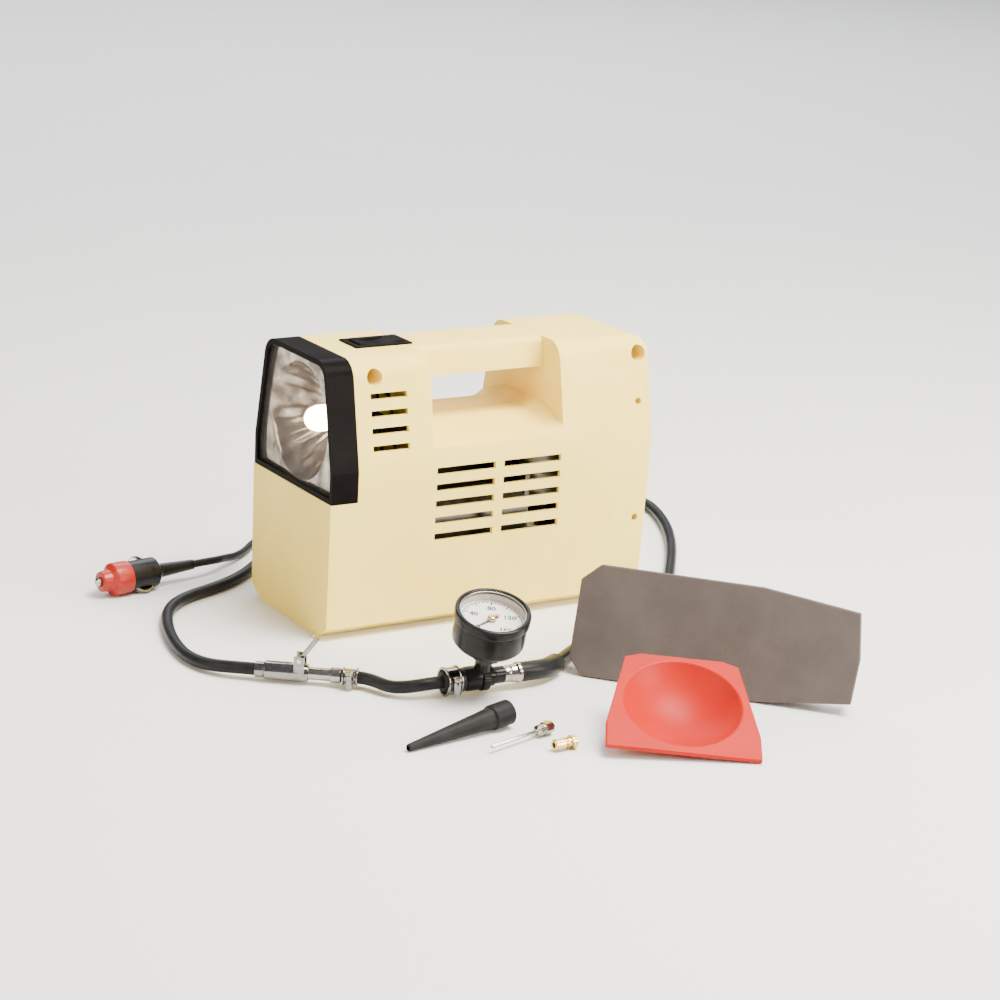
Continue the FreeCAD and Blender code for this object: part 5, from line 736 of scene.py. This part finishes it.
def make_needle_cap():
    """The small brass cap on the needle's hub, which turns with it."""
    cap = rounded([(43.2, 0.05), (43.9, 0.9), (43.5, 2.1), (42.6, 2.55), (41.9, 2.55)], 0.3)
    return fit(turned("needle_cap", cap, FINISH["gear_brass"], GAUGE_PLACE @ UPRIGHT, sides=32), "needle",
               slot="gear_brass")


# Tee with its cuff, sleeve, ferrule and clamps

def knurl(count, depth, first, last):
    """A ripple of small teeth round a turned piece between two places along it."""
    def ripple(along, angle):
        inside = (along > first) & (along < last)
        return 1.0 + np.where(inside, depth * np.cos(count * angle), 0.0)
    return ripple


def thread(first, last, pitch, low, high):
    """The points of a thread's outline: crests and roots that take turns."""
    points = []
    along = first
    while along + pitch <= last:
        points += [(along, low), (along + pitch * 0.3, high), (along + pitch * 0.6, high),
                   (along + pitch * 0.9, low)]
        along += pitch
    return points


def make_sleeve():
    """The rubber cuff in front of the tee and the sleeve behind its ferrule."""
    cuff = rounded([(-25.0, 3.9), (-25.0, 5.0), (-22.5, 7.2), (-12.0, 7.2), (-12.0, 3.9)], 0.8)
    first = fit(turned("hose_cuff", cuff, FINISH["black_rubber"], TEE_PLACE), "root", "hose_sleeve")
    second = line_of("hose_sleeve_line", SLEEVE_RUN, SLEEVE_DIAMETER, FINISH["black_rubber"])
    fit(second, "root", slot="black_rubber")
    return first, second


def make_ferrule():
    """A bright cone that opens to a rolled rim, with a fine groove."""
    line = rounded([(14.0, 2.4), (14.0, 4.6), (17.2, 5.0), (17.6, 4.7), (18.2, 4.7), (18.6, 5.1), (22.0, 5.5),
                    (22.8, 6.2), (24.6, 6.2), (25.0, 5.9), (25.0, 2.4)], 0.35)
    return fit(turned("flared_ferrule", line, FINISH["nickel"], TEE_PLACE), "root", "ferrule")


def make_tee_ring():
    """The knurled collar on the tee's run, just behind the cuff."""
    line = rounded([(-1.2, 6.2), (-1.2, 7.9), (3.4, 7.9), (3.4, 6.2)], 0.4)
    return fit(turned("tee_collar", line, FINISH["gauge_black"], TEE_PLACE, sides=180,
                      ripple=knurl(36, 0.02, -0.9, 3.1)), "root", slot="gauge_black")


def make_clamp(name, place, start, inner, replaced=()):
    """A worm-drive clamp: a band with rolled edges and slots, and its screw in a housing on the near side."""
    band = rounded([(start, inner + 0.05), (start, inner + 1.5), (start + 0.9, inner + 1.5),
                    (start + 1.3, inner + 0.8), (start + 7.7, inner + 0.8), (start + 8.1, inner + 1.5),
                    (start + 9.0, inner + 1.5), (start + 9.0, inner + 0.05)], 0.25)
    slots = knurl(60, 0.012, start + 2.0, start + 7.0)
    first = fit(turned(name + "_band", band, DARK_CHROME, place, sides=96, ripple=slots), "root", *replaced,
                slot="bright_steel")
    reach = inner + 0.8 + 1.3
    at = place @ Matrix.Translation(Vector((start + 4.5, -reach, 0.0)) * MM) @ UPRIGHT
    screw = rounded([(-5.0, 0.05), (-5.0, 2.2), (2.6, 2.2), (2.6, 1.5), (3.2, 1.5), (3.2, 2.5), (5.0, 2.5),
                     (5.0, 0.9), (4.2, 0.9), (4.2, 0.05)], 0.2)
    second = fit(turned(name + "_screw", screw, DARK_CHROME, at, sides=48,
                        ripple=knurl(6, 0.05, 3.1, 5.1)), "root", slot="bright_steel")
    return [first, second]


# Lighter plug

RING_END = 23.2
SPRING_LEAN = -42.0
SPRING_START = RING_END + 2.2
SPRING_LENGTH = 13.6
SPRING_FOOT = 7.9
SPRING_BOW = 4.6
SPRING_SIDE = 1.45
SPRING_DEPTH = 0.55


def make_plug():
    """The red nose with its collar, finely fluted, and the two bowed springs of the barrel. A spring's
    outer face rises from its foot by its bow, in a half wave a little fuller than a sine's."""
    nose = rounded([(3.2, 3.1), (3.2, 6.3), (9.6, 7.0), (10.4, 8.6), (11.4, 10.4), (22.6, 10.4),
                    (RING_END, 9.8), (RING_END, 4.3), (10.6, 4.3), (10.6, 3.1)], 0.8)
    red = fit(turned("plug_collar", nose, FINISH["plug_red"], PLUG_PLACE, sides=144,
                     ripple=knurl(48, 0.006, 12.2, 22.0)), "root", "plug_nose")
    springs = []
    share = np.linspace(0.0, 1.0, 25)
    along = SPRING_START + SPRING_LENGTH * share
    rise = SPRING_FOOT + SPRING_BOW * np.sin(np.pi * share) ** 0.8
    place = PLUG_PLACE @ Matrix.Rotation(math.radians(SPRING_LEAN), 4, "X")
    corners = [(-SPRING_SIDE, 0.0), (SPRING_SIDE, 0.0), (SPRING_SIDE, -SPRING_DEPTH),
               (-SPRING_SIDE, -SPRING_DEPTH)]
    for sign, label in ((1, "upper"), (-1, "lower")):
        grid = np.stack([np.stack([along, np.full_like(along, across), sign * (rise + drop)], axis=-1)
                         for across, drop in corners], axis=1) * MM
        strip = skin(f"plug_spring_{label}", grid, FINISH["nickel"], place)
        springs.append(fit(strip, "root", *(["plug_contacts"] if sign > 0 else []), slot="nickel"))
    barrel = fit(softened("plug_body", 0.4), "root", "plug_body")
    return [red, barrel, nodes["plug_tip"]] + springs


# Chuck, connector and relief

def make_chuck():
    """The chuck, its lever and its stem: the solid model's shapes with rounded edges."""
    body = fit(softened("chuck_body", 1.1, DARK_CHROME, segments=4), "root", "chuck_body")
    lever = fit(softened("chuck_lever", 0.6, DARK_CHROME, segments=3), "lever", "chuck_lever")
    stem = fit(softened("stem_adaptor", 0.3), "root", "stem_adaptor")
    return [body, lever, stem, nodes["chuck_pin"]]


def make_connector():
    """The brass connector's shape with its edges rounded."""
    return fit(softened("tyre_connector", 0.3), "root", "tyre_connector")


RELIEF_FOOT = (85.0, 50.88, 14.4)
RELIEF_RADIUS = 4.6
RELIEF_TAPER = 1.3
RIBS = 10
RIB_SPACE = 2.7


def make_relief():
    """The tapered strain relief, with ribs that grow smaller towards its tip."""
    line = [(0.0, 2.55), (0.0, RELIEF_RADIUS)]
    for index in range(RIBS):
        start = 2.0 + index * RIB_SPACE
        radius = RELIEF_RADIUS - RELIEF_TAPER * index / (RIBS - 1)
        line += [(start, radius), (start + 1.5, radius - 0.05), (start + 1.7, radius - 0.75),
                 (start + 2.5, radius - 0.75)]
    line += [(29.6, 3.2), (30.0, 2.9), (30.0, 2.55)]
    place = set_down(*RELIEF_FOOT, 90.0)
    return fit(turned("ribbed_relief", line, FINISH["black_rubber"], place, sides=48), "root",
               "cord_relief")


# Coil tie

STRAP_SIDE = 3.0
STRAP_DEPTH = 0.7
STRAP_CORNER = 0.28
STRAP_GAP = 0.55
STRAP_HEADROOM = 0.3


def make_tie():
    """The strap round the turns at one side: a loop of thin band, square with round corners."""
    turn = np.linspace(0.0, 2 * np.pi, 64, endpoint=False)
    half_reach = TURN_COLUMNS * TURN_SPACE / 2 + STRAP_GAP
    half_height = (TURN_ROWS * TURN_RISE + STRAP_HEADROOM) / 2
    middle = (COIL_CENTRE[0], COIL_CENTRE[1] + COIL_RADIUS, COIL_FLOOR + (TURN_ROWS - 1) * TURN_RISE / 2)
    edges = ((-STRAP_SIDE, 0.0), (STRAP_SIDE, 0.0), (STRAP_SIDE, STRAP_DEPTH), (-STRAP_SIDE, STRAP_DEPTH))
    rows = []
    for across, out in edges:
        reach = np.sign(np.cos(turn)) * np.abs(np.cos(turn)) ** STRAP_CORNER * (half_reach + out)
        height = np.sign(np.sin(turn)) * np.abs(np.sin(turn)) ** STRAP_CORNER * (half_height + out)
        side = np.full_like(turn, middle[0] + across)
        rows.append(np.stack([side, middle[1] + reach, middle[2] + height], axis=-1))
    grid = np.stack(rows) * MM
    strap = skin("coil_strap", grid, FINISH["plug_black"], round_rows=True)
    return fit(strap, "root", "coil_tie")


# Loose adapters

def hexagon(first, last):
    """A ripple that makes a turned piece six-sided between two places along it."""
    def ripple(along, angle):
        inside = (along > first) & (along < last)
        sixth = np.pi / 3
        flat = math.cos(sixth / 2) / np.cos(np.mod(angle, sixth) - sixth / 2)
        return np.where(inside, flat, 1.0)
    return ripple


NOZZLE_TIP = 2.2
NOZZLE_GRIP = 7.2
NOZZLE_TAPER = 58.0


def make_adapters():
    """The ball needle with its threaded base, the brass valve adaptor, and the tapered nozzle."""
    needle = [(0.0, 0.1), (0.0, 0.6), (0.8, 1.1), (36.6, 1.1), (37.0, 2.2)]
    needle += thread(37.2, 41.6, 0.8, 2.7, 3.2)
    needle += [(41.8, 3.0), (42.0, 4.0), (46.6, 4.0), (47.0, 3.4), (48.0, 3.4), (48.0, 1.2)]
    place = set_down(-115.4, -246.1, 4.2, 15.5)
    fit(turned("ball_needle_turned", needle, FINISH["nickel"], place, sides=48, ripple=hexagon(41.9, 46.7)),
        "root", "ball_needle")
    adaptor = [(0.0, 1.7), (0.0, 2.6), (0.4, 3.0), (6.6, 3.0), (6.8, 2.7)]
    adaptor += thread(7.0, 10.2, 0.8, 2.5, 2.95)
    adaptor += [(10.4, 2.7), (10.6, 3.8), (13.6, 3.8), (14.0, 3.4), (14.0, 1.7)]
    place = set_down(-82.2, -257.5, 4.0, 1.3)
    fit(turned("valve_adaptor_turned", adaptor, FINISH["gear_brass"], place, sides=60,
               ripple=knurl(20, 0.02, 10.6, 13.7)), "root", "valve_adaptor")
    lean = math.atan2(NOZZLE_GRIP - NOZZLE_TIP, NOZZLE_TAPER)
    nozzle = rounded([(0.0, 1.35), (0.0, 1.7), (0.6, NOZZLE_TIP), (NOZZLE_TAPER, 6.2), (58.8, NOZZLE_GRIP),
                      (71.4, NOZZLE_GRIP), (72.0, 6.6), (72.0, 4.0), (64.0, 4.0)], 0.5)
    level = NOZZLE_TIP / math.cos(lean) + 0.2
    place = set_down(-155.4, -225.2, level, 9.2) @ Matrix.Rotation(-lean, 4, "Y")
    fit(turned("nozzle_turned", nozzle, FINISH["nozzle_plastic"], place, sides=120,
               ripple=knurl(24, 0.012, 59.6, 70.8)), "root", "nozzle_adaptor")


gauge = make_gauge_case() + make_dial_print() + [make_needle_cap()]
for node_name in ("gauge_dial", "gauge_needle", "gauge_movement"):
    gauge.append(nodes[node_name])
tee = [fit(softened("tee_body", 0.4), "root", "tee_body"), make_tee_ring(), make_ferrule()]
cuff, sleeve = make_sleeve()
stem_clamp = make_clamp("stem_clamp", CHUCK_PLACE, 51.0, HOSE_DIAMETER / 2, ["hose_clamps"])
cuff_clamp = make_clamp("cuff_clamp", TEE_PLACE, -24.0, 7.2)
make_cords(make_plug(), make_chuck(),
           [sleeve, make_connector()], [make_tie()])
make_relief()
make_adapters()
